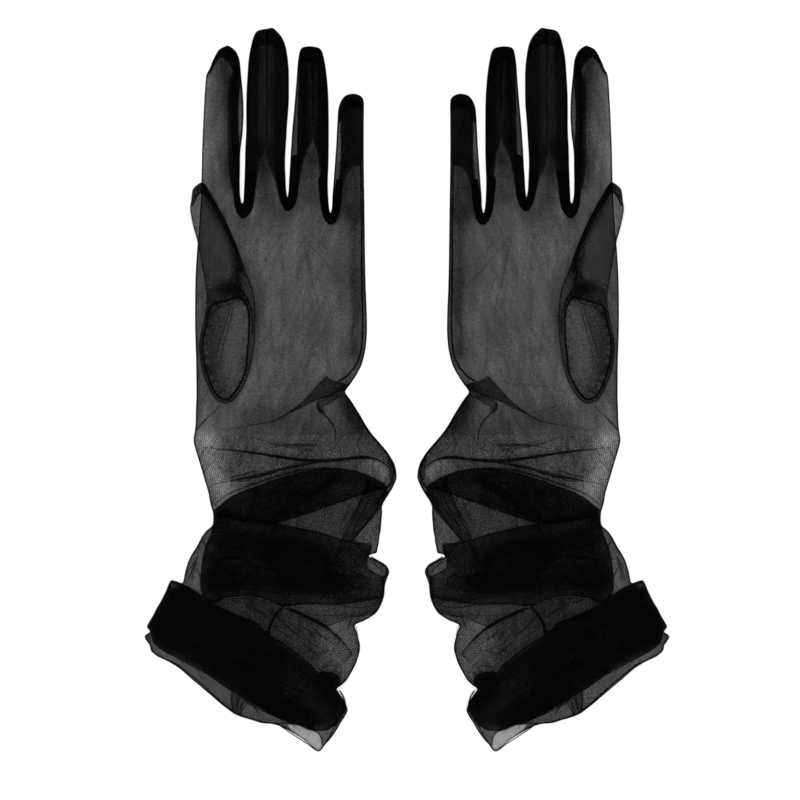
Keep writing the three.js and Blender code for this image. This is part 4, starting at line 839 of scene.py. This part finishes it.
def seam_cord(name, path, r, base, lift=0.1, stitch=1.6, sides=8, step=0.4, bump=0.22):
    """A sewn ridge: a fine cord that swells at every stitch."""
    l = smooth_line(path, step)
    z = base(l) + lift
    c = np.column_stack([l, z])
    t = np.gradient(c, axis=0)
    t /= np.maximum(np.linalg.norm(t, axis=1), 1e-9)[:, None]
    side = np.cross(t, np.array([0.0, 0.0, 1.0]))
    side /= np.maximum(np.linalg.norm(side, axis=1), 1e-9)[:, None]
    up = np.cross(side, t)
    along = np.concatenate([[0], np.cumsum(np.linalg.norm(np.diff(c, axis=0), axis=1))])
    rr = r * (1 + bump * np.sin(2 * math.pi * along / stitch)) * np.minimum(1, 0.35 + np.minimum(along, along[-1] - along) / 1.2)
    v, uv = [], []
    for k in range(sides):
        a = 2 * math.pi * k / sides
        v.append(c + side * (rr * math.cos(a))[:, None] + up * (rr * 0.75 * math.sin(a))[:, None])
        uv.append(np.column_stack([along, np.full(len(l), k * 2 * math.pi * r / sides)]))
    v, uv = np.concatenate(v), np.concatenate(uv)
    n = len(l)
    f = []
    for k in range(sides):
        k2 = (k + 1) % sides
        i = np.arange(n - 1)
        a, b, d, e = k * n + i, k * n + i + 1, k2 * n + i, k2 * n + i + 1
        f.append(np.column_stack([a, b, d]))
        f.append(np.column_stack([b, e, d]))
    ends = []
    for e0, rev in ((0, False), (n - 1, True)):
        for k in range(1, sides - 1):
            tri = (e0, k * n + e0, (k + 1) * n + e0)
            ends.append(tri[::-1] if rev else tri)
    f = np.concatenate(f + [np.array(ends)])
    cord_piece(name).add(v, f, uv, np.ones(len(v)))


def mid_base(p):
    return (z_top(p) + z_bot(p)) / 2


def top_base(p):
    return z_top(p)


def cut_path(path, lo=-1e9, hi=1e9):
    """The part of a path whose y lies between lo and hi."""
    l = smooth_line(path, 0.8)
    k = (l[:, 1] >= lo) & (l[:, 1] <= hi)
    return [tuple(q) for q in l[k]][::2] + ([tuple(l[k][-1])] if k.any() else [])


HAND_SEAM = [(-22.03, 138.96), (-21.84, 126.96), (-22.03, 110.16), (-21.94, 93.36), (-21.65, 76.56), (-21.70, 61.20), (-21.55, 47.76), (-21.26, 34.32), (-21.46, 24.72), (-22.18, 18.00), (-24.00, 12.72), (-26.88, 8.64), (-30.00, 5.52), (-33.36, 3.84)]
seam_cord("little_seam_cord", cut_path(HAND_SEAM, lo=CUT["little"]), 0.34, top_base)
seam_cord("hand_seam_cord", cut_path(HAND_SEAM, hi=CUT["little"]), 0.36, top_base)
SLEEVE_SEAM = [(-30.38, -1.92), (-26.88, -6.48), (-23.04, -12.72), (-19.54, -18.48), (-15.02, -24.43), (-10.22, -30.00), (-8.21, -33.36), (-6.77, -36.72), (-6.29, -40.08), (-7.44, -44.64)]
seam_cord("hand_seam_cord", cut_path(SLEEVE_SEAM, lo=WRIST_CUT), 0.36, top_base)
seam_cord("sleeve_seam_cord", cut_path(SLEEVE_SEAM, hi=WRIST_CUT), 0.36, top_base)
seam_cord("sleeve_seam_cord", [(-7.44, -44.64), (-9.84, -47.52), (-12.24, -51.36), (-14.40, -55.92), (-18.00, -61.68), (-22.32, -67.44), (-25.68, -71.28)], 0.34, surface)
seam_cord("sleeve_seam_cord", [(-17.28, -80.16), (-14.16, -82.08), (-10.80, -84.00), (-9.60, -85.68), (-9.84, -88.08), (-11.28, -90.96), (-11.47, -95.28), (-12.24, -99.60)], 0.32, surface)
seam_cord("cuff_seam_cord", [(-32.40, -144.24), (-30.72, -146.88), (-29.71, -150.00), (-29.62, -152.64), (-31.20, -155.76), (-33.36, -158.88), (-35.28, -161.52)], 0.32, surface)
THUMB_SEAM = [(-97.44, 98.40), (-94.99, 94.56), (-90.96, 87.84), (-87.31, 81.12), (-84.05, 73.68), (-81.84, 67.44), (-80.78, 61.20), (-81.07, 54.48), (-79.92, 48.72), (-76.80, 43.92), (-74.64, 38.16), (-73.87, 32.40), (-73.97, 26.64)]
seam_cord("thumb_seam_cord", cut_path(THUMB_SEAM, lo=THUMB_CUT), 0.36, thumb_high)
seam_cord("thumb_base_cord", cut_path(THUMB_SEAM, hi=THUMB_CUT), 0.3, thumb_high)
seam_cord("thumb_seam_cord", cut_path([(-96.72, 95.28), (-93.84, 91.44), (-90.96, 86.16), (-87.84, 79.92), (-84.72, 72.72), (-81.84, 65.52), (-79.68, 59.28)], lo=THUMB_CUT), 0.2, thumb_high)
oval_closed = [tuple(q) for q in OVAL_L[::2]] + [tuple(OVAL_L[0]), tuple(OVAL_L[2])]
seam_cord("thumb_hole_cord", oval_closed, 0.46, thumb_high, lift=0.05)
# the seams that hold the gussets: along the sides of the fingers, on the palm side
SIDES = {
    "index_gusset": [[(-80.02, 148.56), (-80.98, 138.96), (-81.17, 129.36), (-80.78, 119.76), (-80.40, 110.16), (-80.50, 100.27)]],
    "middle_gusset_index_side": [[(-74.88, 162.96), (-75.79, 157.20), (-76.27, 148.56), (-76.56, 134.16), (-76.75, 124.56), (-77.14, 114.96), (-77.42, 107.47)]],
    "middle_gusset_ring_side": [[(-59.28, 163.92), (-57.65, 157.20), (-57.26, 148.56), (-57.26, 137.04), (-58.03, 127.44), (-58.51, 118.80), (-58.90, 107.47)]],
    "ring_gusset_middle_side": [[(-51.36, 158.16), (-51.79, 148.56), (-51.98, 138.96), (-52.27, 124.56), (-52.56, 114.96), (-52.75, 103.63)]],
    "ring_gusset_little_side": [[(-40.08, 158.16), (-39.02, 149.52), (-38.35, 140.40), (-38.06, 129.36), (-38.06, 117.36), (-38.26, 103.63)]],
    "little_gusset": [[(-30.48, 135.12), (-30.96, 129.36), (-31.06, 119.76), (-31.06, 110.16), (-31.25, 100.56), (-31.92, 94.03)]],
}
for n, paths in SIDES.items():
    for path in paths:
        seam_cord(n + "@cord", path, 0.26, top_base, lift=0.05, stitch=1.5, sides=6)
for n, path in (
    ("index_middle_fork_fabric@cord", [(-80.50, 100.27), (-80.50, 94.80), (-80.11, 91.20), (-79.25, 88.56), (-78.19, 90.24), (-77.90, 94.80), (-77.62, 100.56), (-77.42, 107.47)]),
    ("middle_ring_fork_fabric@cord", [(-58.90, 107.47), (-58.61, 101.52), (-58.32, 95.28), (-57.36, 91.44), (-56.40, 95.28), (-55.68, 100.08), (-52.75, 103.63)]),
    ("ring_little_fork_fabric@cord", [(-38.26, 103.63), (-38.35, 98.64), (-38.16, 92.40), (-37.68, 86.64), (-36.72, 83.86), (-35.66, 86.88), (-34.80, 90.96), (-31.92, 94.03)]),
):
    seam_cord(n, path, 0.28, top_base, lift=0.05, stitch=1.5, sides=6)

# the rolled hem round the mouth
HEM_BACK = [(-122.74, -123.60), (-121.44, -126.00), (-119.52, -127.92), (-115.44, -129.60), (-110.16, -132.00), (-104.88, -136.08), (-98.64, -141.12), (-91.92, -147.36), (-86.16, -152.40), (-84.10, -153.60), (-83.28, -155.18), (-78.00, -156.91), (-71.28, -159.36), (-67.44, -160.03), (-62.64, -160.22), (-58.32, -163.15), (-52.56, -166.99), (-47.28, -170.35), (-44.64, -172.46), (-42.48, -173.42), (-41.04, -172.46), (-37.49, -167.04), (-34.08, -160.80), (-31.92, -158.16)]
seam_cord("hem_cord", HEM_BACK, 0.24, z_bot, lift=0.18, stitch=1.1, sides=6, bump=0.12)
HEM_TOP = [(-62.64, -160.08), (-58.80, -159.94), (-51.12, -160.66), (-46.32, -162.82), (-42.72, -164.35), (-41.04, -167.28), (-40.85, -170.40)]
seam_cord("hem_cord", HEM_TOP, 0.26, lambda p: z_top(p) + 0.1, lift=0.12, stitch=1.1, sides=6, bump=0.12)


# ------------------------------------------------------------------ finishes
class Nodes:
    """Short forms for a node tree."""

    def __init__(self, name):
        self.m = bpy.data.materials.new(name)
        self.m.use_nodes = True
        self.t = self.m.node_tree
        self.t.nodes.clear()
        self.out = self.n("ShaderNodeOutputMaterial")
        self.bsdf = self.n("ShaderNodeBsdfPrincipled")
        self.t.links.new(self.bsdf.outputs[0], self.out.inputs[0])

    def n(self, kind, **props):
        node = self.t.nodes.new(kind)
        for k, v in props.items():
            setattr(node, k, v)
        return node

    def put(self, socket, value):
        if isinstance(value, (int, float)):
            socket.default_value = value
        elif isinstance(value, (tuple, list)):
            socket.default_value = value
        else:
            self.t.links.new(value, socket)

    def math(self, op, a, b=None, c=None, clamp=False):
        node = self.n("ShaderNodeMath", operation=op, use_clamp=clamp)
        for i, x in enumerate((a, b, c)):
            if x is not None:
                self.put(node.inputs[i], x)
        return node.outputs[0]

    def ramp(self, x, lo, hi, a=0.0, b=1.0):
        node = self.n("ShaderNodeMapRange", interpolation_type="SMOOTHSTEP")
        self.put(node.inputs["Value"], x)
        for k, v in (("From Min", lo), ("From Max", hi), ("To Min", a), ("To Max", b)):
            node.inputs[k].default_value = v
        return node.outputs["Result"]

    def noise(self, vec, scale, detail=3.0, rough=0.55, distortion=0.0):
        node = self.n("ShaderNodeTexNoise")
        self.put(node.inputs["Vector"], vec)
        for k, v in (("Scale", scale), ("Detail", detail), ("Roughness", rough), ("Distortion", distortion)):
            node.inputs[k].default_value = v
        return node.outputs[0]

    def mapping(self, vec, scale=(1, 1, 1), rot=0.0, loc=(0, 0, 0)):
        node = self.n("ShaderNodeMapping")
        self.put(node.inputs["Vector"], vec)
        node.inputs["Scale"].default_value = scale
        node.inputs["Rotation"].default_value = (0, 0, rot)
        node.inputs["Location"].default_value = loc
        return node.outputs[0]


def net(name, pitch=1.0, open_share=0.505, tint=(0.00085, 0.00080, 0.00088), cloud=0.10, streak=0.08, grain=0.09, wrinkle=0.0, wander=2.2, bump=1.0, relief=0.5):
    """Sheer net: a lattice of fine threads round six-sided holes, closer where the dens attribute is high."""
    b = Nodes(name)
    uv = b.n("ShaderNodeUVMap", uv_map="UVMap").outputs[0]
    # a slow wander keeps the rows of holes from being ruled lines
    wan = b.n("ShaderNodeTexNoise")
    b.put(wan.inputs["Vector"], b.mapping(uv, (0.035, 0.035, 1)))
    wan.inputs["Scale"].default_value = 1.0
    wan.inputs["Detail"].default_value = 2.0
    off = b.n("ShaderNodeVectorMath", operation="MULTIPLY_ADD")
    b.put(off.inputs[0], wan.outputs["Color"])
    off.inputs[1].default_value = (wander, wander, 0)
    b.put(off.inputs[2], uv)
    sep = b.n("ShaderNodeSeparateXYZ")
    b.put(sep.inputs[0], off.outputs[0])
    x, y = sep.outputs[0], sep.outputs[1]
    k = 2 * math.pi / pitch * 2 / math.sqrt(3)
    waves = []
    for ang in (90, 30, -30):
        c, s = math.cos(math.radians(ang)) * k, math.sin(math.radians(ang)) * k
        waves.append(b.math("COSINE", b.math("ADD", b.math("MULTIPLY", x, c), b.math("MULTIPLY", y, s))))
    lattice = b.math("MULTIPLY", b.math("ADD", b.math("ADD", waves[0], waves[1]), waves[2]), 1 / 3)
    hole = b.ramp(lattice, -0.2, 0.2, 0.0, 1.0)
    # thick and thin: clouds, drawn streaks, and the grain of single threads
    clouds = b.noise(b.mapping(uv, (0.045, 0.045, 1)), 1.0, 4.0, 0.6)
    streaks = b.noise(b.mapping(uv, (0.30, 0.022, 1), 0.12), 1.0, 3.0, 0.6, 0.3)
    specks = b.noise(b.mapping(uv, (0.8, 0.8, 1)), 1.0, 1.0, 0.5)
    g = b.math("MULTIPLY_ADD", b.math("SUBTRACT", clouds, 0.5), 4 * cloud, 1.0)
    g = b.math("MULTIPLY_ADD", b.math("SUBTRACT", streaks, 0.5), 4 * streak, g)
    g = b.math("MULTIPLY_ADD", b.math("SUBTRACT", specks, 0.5), 4 * grain, g)
    if wrinkle:
        # fine creases: the narrow ridges of a drawn-out noise
        field = b.noise(b.mapping(uv, (0.11, 0.022, 1), 0.5), 1.0, 2.0, 0.5, 0.8)
        ridge = b.math("ABSOLUTE", b.math("SUBTRACT", field, 0.5))
        g = b.math("MULTIPLY_ADD", b.ramp(ridge, 0.0, 0.018, 1.0, 0.0), wrinkle, g)
    dens = b.n("ShaderNodeAttribute", attribute_name="dens")
    power = b.math("MULTIPLY", b.math("MAXIMUM", g, 0.15), dens.outputs["Fac"])
    through = b.math("POWER", open_share, power)
    # layers inside a fold are drawn up, so their holes close and the lattice fades
    calm = b.math("GREATER_THAN", x, 500.0)
    contrast = b.math("MULTIPLY", b.math("MINIMUM", power, 1.0), b.math("MULTIPLY_ADD", calm, -0.6 * relief, relief))
    through = b.math("MULTIPLY", through, b.math("MULTIPLY_ADD", b.math("SUBTRACT", hole, 0.403), contrast, 1.0))
    b.put(b.bsdf.inputs["Alpha"], b.math("SUBTRACT", 1.0, through, clamp=True))
    # the yarn: nearly black, with a painted highlight that makes the crowns of the threads a shade lighter
    col = b.n("ShaderNodeMix", data_type="RGBA")
    b.put(col.inputs["Factor"], b.ramp(lattice, -0.5, 0.3, 1.0, 0.0))
    col.inputs["A"].default_value = (*[c * 0.6 for c in tint], 1)
    col.inputs["B"].default_value = (*[c * 1.5 for c in tint], 1)
    b.put(b.bsdf.inputs["Base Color"], col.outputs["Result"])
    b.put(b.bsdf.inputs["Roughness"], b.ramp(specks, 0.3, 0.7, 0.62, 0.82))
    b.bsdf.inputs["Specular IOR Level"].default_value = 0.012
    b.bsdf.inputs["Sheen Weight"].default_value = 0.003
    b.bsdf.inputs["Sheen Roughness"].default_value = 0.45
    bp = b.n("ShaderNodeBump")
    bp.inputs["Strength"].default_value = bump
    bp.inputs["Distance"].default_value = 0.0004
    b.put(bp.inputs["Height"], b.math("MULTIPLY_ADD", lattice, -0.7, b.math("MULTIPLY", streaks, 0.5)))
    b.put(b.bsdf.inputs["Normal"], bp.outputs[0])
    return b.m


def yarn(name, tint=(0.0011, 0.0010, 0.0012), stitch=1.6, alpha=None):
    """A stitched cord: plies that twist round it and a dip at every stitch."""
    b = Nodes(name)
    uv = b.n("ShaderNodeUVMap", uv_map="UVMap").outputs[0]
    sep = b.n("ShaderNodeSeparateXYZ")
    b.put(sep.inputs[0], uv)
    x, y = sep.outputs[0], sep.outputs[1]
    ply = b.math("SINE", b.math("MULTIPLY_ADD", x, 2 * math.pi / 0.42, b.math("MULTIPLY", y, 5.0)))
    dip = b.math("SINE", b.math("MULTIPLY", x, 2 * math.pi / stitch))
    fuzz = b.noise(b.mapping(uv, (2.4, 2.4, 1)), 1.0, 3.0, 0.6)
    h = b.math("MULTIPLY_ADD", ply, 0.4, b.math("MULTIPLY_ADD", dip, 0.5, b.math("MULTIPLY", fuzz, 0.6)))
    # painted shade and highlight: the colour follows the relief, darker in the dips between plies and at each stitch
    # and lighter on the ridges; the fuzz adds random tone
    col = b.n("ShaderNodeMix", data_type="RGBA")
    b.put(col.inputs["Factor"], b.ramp(h, -0.5, 1.0))
    col.inputs["A"].default_value = (*[c * 0.5 for c in tint], 1)
    col.inputs["B"].default_value = (*[c * 1.6 for c in tint], 1)
    b.put(b.bsdf.inputs["Base Color"], col.outputs["Result"])
    b.put(b.bsdf.inputs["Roughness"], b.ramp(fuzz, 0.3, 0.7, 0.55, 0.75))
    b.bsdf.inputs["Specular IOR Level"].default_value = 0.02
    b.bsdf.inputs["Sheen Weight"].default_value = 0.004
    b.bsdf.inputs["Sheen Roughness"].default_value = 0.4
    if alpha is not None:
        b.put(b.bsdf.inputs["Alpha"], b.ramp(h, -0.7, 0.8, alpha * 0.75, min(1.0, alpha * 1.2)))
    bp = b.n("ShaderNodeBump")
    bp.inputs["Strength"].default_value = 0.6
    bp.inputs["Distance"].default_value = 0.0001
    b.put(bp.inputs["Height"], h)
    b.put(b.bsdf.inputs["Normal"], bp.outputs[0])
    return b.m


MATS = {
    "panel": net("sheer_net_panel", pitch=1.07, cloud=0.20, streak=0.22, grain=0.20, relief=0.27),
    "sleeve": net("sheer_net_sleeve", pitch=1.12, open_share=0.53, cloud=0.14, streak=0.16, grain=0.30, wrinkle=0.46, relief=0.62),
    "gusset": net("sheer_net_gusset", pitch=1.1, cloud=0.12, streak=0.16, grain=0.42, relief=0.8),
    "fork": net("sheer_net_fork", pitch=1.1, cloud=0.10, streak=0.10, grain=0.36, relief=0.8),
    "thumb": net("sheer_net_thumb", pitch=1.12, cloud=0.12, streak=0.14, grain=0.38, relief=0.64),
    "thread": yarn("seam_yarn", alpha=0.88),
    "fine_thread": yarn("fine_seam_yarn", stitch=1.5, alpha=0.72),
    "hem": yarn("hem_roll", stitch=1.1, alpha=0.85),
}

# ------------------------------------------------------------------ objects
REPLACED = {
    "hand_panels": ("hand_trank",),
    "hand_seam_stitching": ("hand_side_seam",),
    "index_panels": ("index_trank",),
    "index_gusset": ("index_fourchette",),
    "middle_panels": ("middle_trank",),
    "middle_gusset_index_side": ("middle_fourchette_index_side",),
    "middle_gusset_ring_side": ("middle_fourchette_ring_side",),
    "ring_panels": ("ring_trank",),
    "ring_gusset_middle_side": ("ring_fourchette_middle_side",),
    "ring_gusset_little_side": ("ring_fourchette_little_side",),
    "little_panels": ("little_trank",),
    "little_gusset": ("little_fourchette",),
    "little_seam_stitching": ("little_side_seam",),
    "index_middle_fork_fabric": ("index_middle_fork",),
    "middle_ring_fork_fabric": ("middle_ring_fork",),
    "ring_little_fork_fabric": ("ring_little_fork",),
    "thumb_base_fabric": ("thumb_gusset",),
    "thumb_hole_stitching": ("thumb_hole_seam",),
    "thumb_stall_fabric": ("thumb_stall",),
    "thumb_seam_stitching": ("thumb_side_seam",),
    "sleeve_fabric": ("sleeve_tube",),
    "sleeve_seam_stitching": ("sleeve_side_seam",),
    "cuff_fabric": ("gathered_cuff",),
    "hem_fabric": ("rolled_hem",),
}
FINISH = {
    "hand_panels": ("panel", "sheer_tulle"), "sleeve_fabric": ("sleeve", "sheer_tulle"), "cuff_fabric": ("sleeve", "folded_tulle"),
    "thumb_base_fabric": ("thumb", "sheer_tulle"), "thumb_stall_fabric": ("thumb", "sheer_tulle"),
}
STITCHING = {
    "little_seam_stitching": ("little_seam_cord", "thread"),
    "hand_seam_stitching": ("hand_seam_cord", "thread"),
    "sleeve_seam_stitching": ("sleeve_seam_cord", "thread"),
    "cuff_seam_stitching": ("cuff_seam_cord", "thread"),
    "thumb_seam_stitching": ("thumb_seam_cord", "thread"),
    "thumb_base_stitching": ("thumb_base_cord", "thread"),
    "thumb_hole_stitching": ("thumb_hole_cord", "thread"),
    "hem_fabric": ("hem_cord", "hem"),
}
for key in list(CORDS):
    if key.endswith("@cord"):
        STITCHING[key[:-5].replace("_fabric", "") + "_stitching"] = (key, "fine_thread")


def make(name, fab, right, material):
    v, f, uv, den = fab.arrays()
    v = v * 0.001
    if right:
        v = v * np.array([-1.0, 1.0, 1.0])
        f = f[:, ::-1]
    me = bpy.data.meshes.new(name)
    me.vertices.add(len(v))
    me.vertices.foreach_set("co", v.astype(np.float32).ravel())
    me.loops.add(f.size)
    me.loops.foreach_set("vertex_index", f.astype(np.int32).ravel())
    me.polygons.add(len(f))
    me.polygons.foreach_set("loop_start", np.arange(0, f.size, 3, dtype=np.int32))
    me.polygons.foreach_set("loop_total", np.full(len(f), 3, dtype=np.int32))
    me.update(calc_edges=True)
    me.validate()
    layer = me.uv_layers.new(name="UVMap")
    idx = np.zeros(len(me.loops), dtype=np.int32)
    me.loops.foreach_get("vertex_index", idx)
    layer.data.foreach_set("uv", uv[idx].astype(np.float32).ravel())
    att = me.attributes.new("dens", "FLOAT", "POINT")
    att.data.foreach_set("value", den.astype(np.float32))
    me.polygons.foreach_set("use_smooth", np.ones(len(me.polygons), dtype=bool))
    me.materials.append(material)
    o = bpy.data.objects.new(name, me)
    bpy.context.scene.collection.objects.link(o)
    return o


def material_of(name):
    if name in FINISH:
        return FINISH[name]
    if "fork" in name:
        return ("fork", "folded_tulle")
    if "gusset" in name:
        return ("gusset", "folded_tulle")
    return ("panel", "sheer_tulle")


OBJ = {}
for right in (False, True):
    s = "right_" if right else "left_"
    for name, fab in PIECES.items():
        mat, slot_name = material_of(name)
        OBJ[s + name] = make(s + name, fab, right, MATS[mat])
    for name, (key, mat) in STITCHING.items():
        OBJ[s + name] = make(s + name, CORDS[key], right, MATS[mat])
    for name, nodes in REPLACED.items():
        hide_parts(*[s + n for n in nodes])

    def bend(name):
        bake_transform(OBJ[s + name])

    for name in ("hand_panels", "hand_seam_stitching"):
        bend(name)
    for fn in HINGE:
        for name in [n for n in list(PIECES) + list(STITCHING) if n.startswith(fn + "_") and "fork" not in n]:
            bend(name)
    for name in [n for n in list(PIECES) + list(STITCHING) if "fork" in n] + ["thumb_base_fabric", "thumb_hole_stitching", "thumb_base_stitching"]:
        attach(OBJ[s + name], s + "hand")
    for name in ("thumb_stall_fabric", "thumb_seam_stitching"):
        bend(name)
    for name in ("sleeve_fabric", "sleeve_seam_stitching"):
        bend(name)
    for name in ("cuff_fabric", "cuff_seam_stitching", "hem_fabric"):
        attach(OBJ[s + name], s + "cuff")

# the cut size of each piece of cloth, across and along, in metres. A tube or a finger is cut twice as wide as it lies flat.
# The arm is 0.37 long in all, as on a glove of 0.56 from fingertip to hem. A gusset is a strip 0.018 wide.
CUT = {"hand_panels": (0.175, 0.1325), "sleeve_fabric": (0.203, 0.231), "cuff_fabric": (0.211, 0.139),
       "thumb_base_fabric": (0.027, 0.049), "thumb_stall_fabric": (0.051, 0.068),
       "index_panels": (0.038, 0.065), "middle_panels": (0.040, 0.066), "ring_panels": (0.040, 0.061), "little_panels": (0.030, 0.048),
       "index_gusset": (0.018, 0.065), "middle_gusset_index_side": (0.018, 0.066), "middle_gusset_ring_side": (0.018, 0.066),
       "ring_gusset_middle_side": (0.018, 0.061), "ring_gusset_little_side": (0.018, 0.061), "little_gusset": (0.018, 0.048),
       "index_middle_fork_fabric": (0.028, 0.027), "middle_ring_fork_fabric": (0.032, 0.027), "ring_little_fork_fabric": (0.024, 0.025)}
for right in (False, True):
    s = "right_" if right else "left_"

# ------------------------------------------------------------------ floor, light, camera
bpy.ops.mesh.primitive_plane_add(size=6, location=(0, 0, -0.0002))
floor = bpy.context.object
floor.name = "floor"
fm = Nodes("floor_paper")
fm.bsdf.inputs["Base Color"].default_value = (0.93, 0.93, 0.93, 1)
fm.bsdf.inputs["Roughness"].default_value = 0.9
fm.bsdf.inputs["Specular IOR Level"].default_value = 0.0
floor.data.materials.append(fm.m)


def sun(name, azimuth, elevation, strength, angle):
    d = bpy.data.lights.new(name, "SUN")
    d.energy = strength
    d.angle = math.radians(angle)
    o = bpy.data.objects.new(name, d)
    a, e = math.radians(azimuth), math.radians(elevation)
    back = Vector((math.sin(a) * math.cos(e), -math.cos(a) * math.cos(e), math.sin(e)))
    o.rotation_mode = "QUATERNION"
    o.rotation_quaternion = back.to_track_quat("Z", "Y")
    o.location = back * 2
    bpy.context.scene.collection.objects.link(o)
    return o


sun("overhead_softbox", 0, 90, 2.75, 28)
sun("side_softbox", 200, 60, 0.35, 40)

world = bpy.data.worlds.new("studio")
world.use_nodes = True
world.node_tree.nodes["Background"].inputs[0].default_value = (1, 1, 1, 1)
world.node_tree.nodes["Background"].inputs[1].default_value = 0.22
bpy.context.scene.world = world

cam_data = bpy.data.cameras.new("camera")
cam_data.sensor_width = 36.0
cam_data.lens = 300.0
cam_data.clip_start, cam_data.clip_end = 0.05, 20.0
cam = bpy.data.objects.new("camera", cam_data)
cam.location = (-0.00336, -0.00498, 3.2)
cam.rotation_euler = (0.0, 0.0, 0.0)
bpy.context.scene.collection.objects.link(cam)
bpy.context.scene.camera = cam
bpy.context.scene.view_settings.view_transform = "Standard"
# sheer cloth lies up to ten deep here, and light passes each layer twice
bpy.context.scene.cycles.transparent_max_bounces = 40
